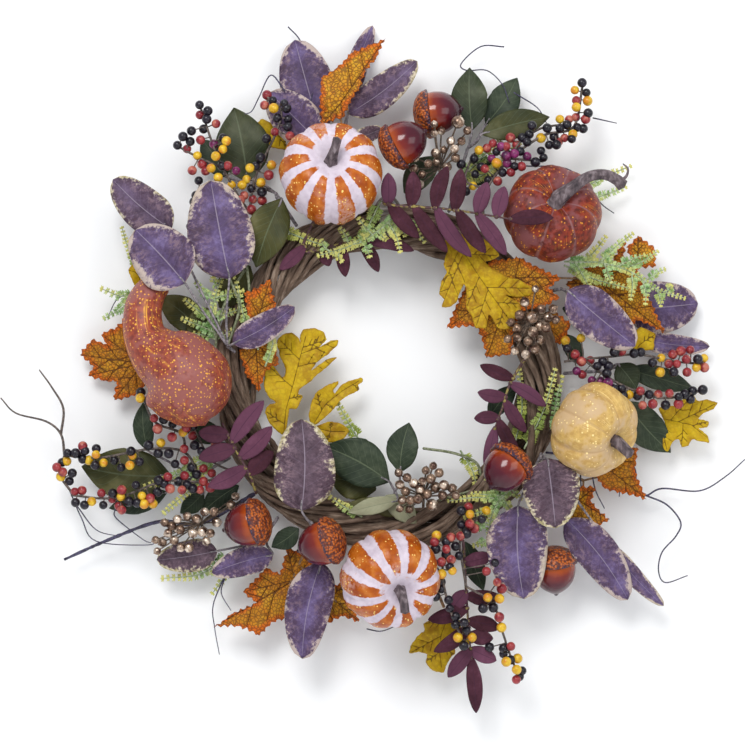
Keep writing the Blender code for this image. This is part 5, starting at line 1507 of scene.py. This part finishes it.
TENDRILS = (
    ("tendrils_top", 0.0007,
     (((-86, 303, 8), (-75, 290, 10), (-62, 258, 20), (-66, 235, 24), (-60, 210, 24)),
      ((-88, 245, 34), (-100, 259, 30), (-110, 240, 32), (-116, 228, 34), (-122, 225, 36)))),
    ("tendrils_upper_right", 0.0007,
     (((100, 285, 14), (80, 285, 16), (63, 270, 18), (68, 264, 20), (85, 264, 20), (98, 252, 22),
      (104, 236, 24)), ((108, 245, 20), (128, 232, 22), (136, 218, 26)), ((175, 222, 34), (196, 218, 28)),
      ((115, 182, 20), (150, 181, 16), (168, 172, 14)), ((172, 165, 14), (184, 150, 12), (195, 142, 10)))),
    ("tendrils_left", 0.0006,
     (((-272, -95, 34), (-262, -120, 28), (-250, -140, 22), (-205, -143, 24), (-200, -138, 26)),
      ((-265, -110, 32), (-250, -130, 24), (-230, -136, 22)), ((-233, -112, 34), (-232, -120, 30),
      (-210, -138, 26), (-203, -141, 26)), ((-215, 75, 22), (-232, 68, 18), (-240, 54, 16)),
      ((-140, -170, 22), (-150, -195, 18), (-149, -215, 14), (-145, -238, 12)),
      ((-140, -172, 22), (-143, -185, 18), (-135, -200, 14)))),
    ("tendrils_lower", 0.0007,
     (((200, -80, 20), (199, -102, 16)), ((165, -78, 24), (166, -95, 24), (172, -112, 22), (172, -125, 20)),
      ((-18, -215, 24), (-5, -217, 22), (12, -210, 24)), ((175, -80, 22), (178, -96, 22), (186, -112, 20)))),
)
TENDRIL_ROUTE = (
    (136, -64, 16), (205, -72, 14), (214, -92, 14), (222, -101, 14), (236, -95, 15), (268, -97, 16),
    (290, -85, 16), (307, -70, 16),
)
TENDRIL_CURL = (
    (222, -101, 14), (240, -109, 14), (252, -124, 14), (248, -136, 14), (236, -150, 14), (233, -166, 14),
    (239, -176, 14), (258, -170, 14),
)
LOOSE_STEMS = (
    ((30, -60, 34), (56, -64, 34), (75, -72, 34), (80, -85, 34)),
    ((44, -104, 36), (80, -92, 36), (96, -70, 36)), ((-136, 27, 50), (-126, 60, 52), (-134, 84, 54)),
    ((-148, 20, 40), (-140, 60, 44), (-122, 92, 40)), ((-128, 30, 46), (-118, 66, 48), (-120, 96, 44)),
)
TWIG = (
    (-114, -99, 32), (-160, -124, 32), (-196, -123, 26), (-240, -139, 20), (-278, -156, 16),
)


def tendrils():
    """The curled wires, the twig at the lower left and the loose stems."""
    navy = wire_paint("tendril_paint", (0.020, 0.016, 0.035), (0.075, 0.065, 0.13))
    green = wire_paint("loose_stem_paint", (0.10, 0.12, 0.05), (0.30, 0.32, 0.20))
    for name, radius, routes in TENDRILS:
        made = wires(name, [places(r) for r in routes], [(radius, radius * 0.6)] * len(routes), navy, sides=6)
    made = wires("tendril_right_wires", [places(TENDRIL_ROUTE), places(TENDRIL_CURL)],
                 [(0.0011, 0.0005), (0.0008, 0.0005)], navy, steps=8)
    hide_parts("tendril_right")
    dice = random.Random(8)
    route = smooth_route(places(TWIG), 14)
    widths = [0.0018 * (1 - 0.35 * k / len(route)) * dice.uniform(0.85, 1.25) for k in range(len(route))]
    verts, faces = tube_mesh(route, widths, 8)
    make_object("twig_lower_left", verts, faces, [navy])
    wires("loose_stems", [places(r) for r in LOOSE_STEMS], [0.0012] * len(LOOSE_STEMS), green)


def steel():
    """Scratched steel with a little rust on the two CAD pieces that stay, the strap and the loop."""
    shader = Shader("hanger_steel_paint", roughness=0.42, metallic=0.9)
    scratch = shader.noise(300, 4, shader.stretched(shader.position(), (0.15, 1.0, 1.0)))
    rust = shader.noise(90, 4)
    tone = shader.mix(shader.step(scratch, 0.40, 0.62), (0.20, 0.18, 0.16), (0.42, 0.39, 0.35))
    shader.to("Base Color", shader.mix(shader.step(rust, 0.60, 0.72), tone, (0.16, 0.07, 0.035)))
    shader.to("Roughness", shader.scaled(rust, 0.5, 0.20))
    shader.bump(scratch, 0.25, 0.0004)
    for name in ("hanger_strap", "hanging_loop"):
        node = frame["nodes"][name]
        node.material_slots[0].link = "OBJECT"
        node.material_slots[0].material = shader.material


# Stage, lights and camera

def stage_set():
    """A white wall that is clear from behind, and a pale floor below it."""
    wall_paint = Shader("stage_wall", roughness=0.9, specular=0.2)
    wall_paint.to("Base Color", wall_paint.ramp(wall_paint.noise(3, 2), ((0.0, (0.96, 0.96, 0.96)),
                                                                        (1.0, (0.98, 0.98, 0.98)))))
    tree = wall_paint.tree
    clear = wall_paint.node("BsdfTransparent")
    chosen = wall_paint.node("MixShader", {0: wall_paint.node("NewGeometry").outputs["Backfacing"],
                                           1: wall_paint.principled.outputs[0], 2: clear.outputs[0]})
    tree.links.new(chosen.outputs[0], tree.nodes["Material Output"].inputs["Surface"])
    half, reach, behind, floor_level = 2.2, 3.5, 0.006, -1.25
    for name, corners in (
            ("stage_wall", ((-half, behind, floor_level), (half, behind, floor_level), (half, behind, half),
                            (-half, behind, half))),
            ("stage_floor", ((-half, -reach, floor_level), (half, -reach, floor_level),
                             (half, reach, floor_level), (-half, reach, floor_level)))):
        mesh = bpy.data.meshes.new(name)
        mesh.from_pydata(corners, [], [(0, 1, 2, 3)])
        mesh.materials.append(wall_paint.material)
        made = bpy.data.objects.new(name, mesh)
        bpy.context.scene.collection.objects.link(made)


def lamp(name, at, target, size, power):
    """A square soft light aimed at the target."""
    data = bpy.data.lights.new(name, "AREA")
    data.shape = "SQUARE"
    data.size = size
    data.energy = power
    made = bpy.data.objects.new(name, data)
    made.location = at
    made.rotation_mode = "QUATERNION"
    made.rotation_quaternion = (Vector(target) - Vector(at)).to_track_quat("-Z", "Y")
    bpy.context.scene.collection.objects.link(made)


def lights():
    """A soft white studio, lit mostly from the upper left."""
    world = bpy.data.worlds.new("studio")
    world.use_nodes = True
    world.node_tree.nodes["Background"].inputs[0].default_value = (0.93, 0.96, 1.0, 1)
    world.node_tree.nodes["Background"].inputs[1].default_value = 0.60
    bpy.context.scene.world = world
    middle = RING_CENTRE
    lamp("key", middle + Vector((-0.5, -1.9, 1.3)), middle, size=0.9, power=28)
    lamp("fill", middle + Vector((1.2, -1.6, 0.4)), middle, size=1.2, power=9)
    lamp("back", middle + Vector((0.3, 1.8, 0.9)), middle, size=1.2, power=9)


VIEW_DISTANCE = 2.4
VIEW_WIDTH = 0.6375
VIEW_CENTRE = (-11, 2.6, 43.6)


def camera():
    """A long lens straight in front, as the photograph was taken."""
    data = bpy.data.cameras.new("photo_view")
    data.sensor_width = 36
    data.lens = 36 * VIEW_DISTANCE / VIEW_WIDTH
    made = bpy.data.objects.new("photo_view", data)
    made.location = place(*VIEW_CENTRE) + FRONT * VIEW_DISTANCE
    made.rotation_euler = (math.radians(90), 0, 0)
    bpy.context.scene.collection.objects.link(made)
    bpy.context.scene.camera = made


def main():
    gourds()
    acorns()
    leaf_picks()
    lobed_picks()
    fronds()
    cedar_sprays()
    berries()
    bronze_berries()
    vines()
    tendrils()
    steel()
    stage_set()
    lights()
    camera()
    bpy.context.scene.view_settings.view_transform = "Standard"
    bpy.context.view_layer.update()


main()
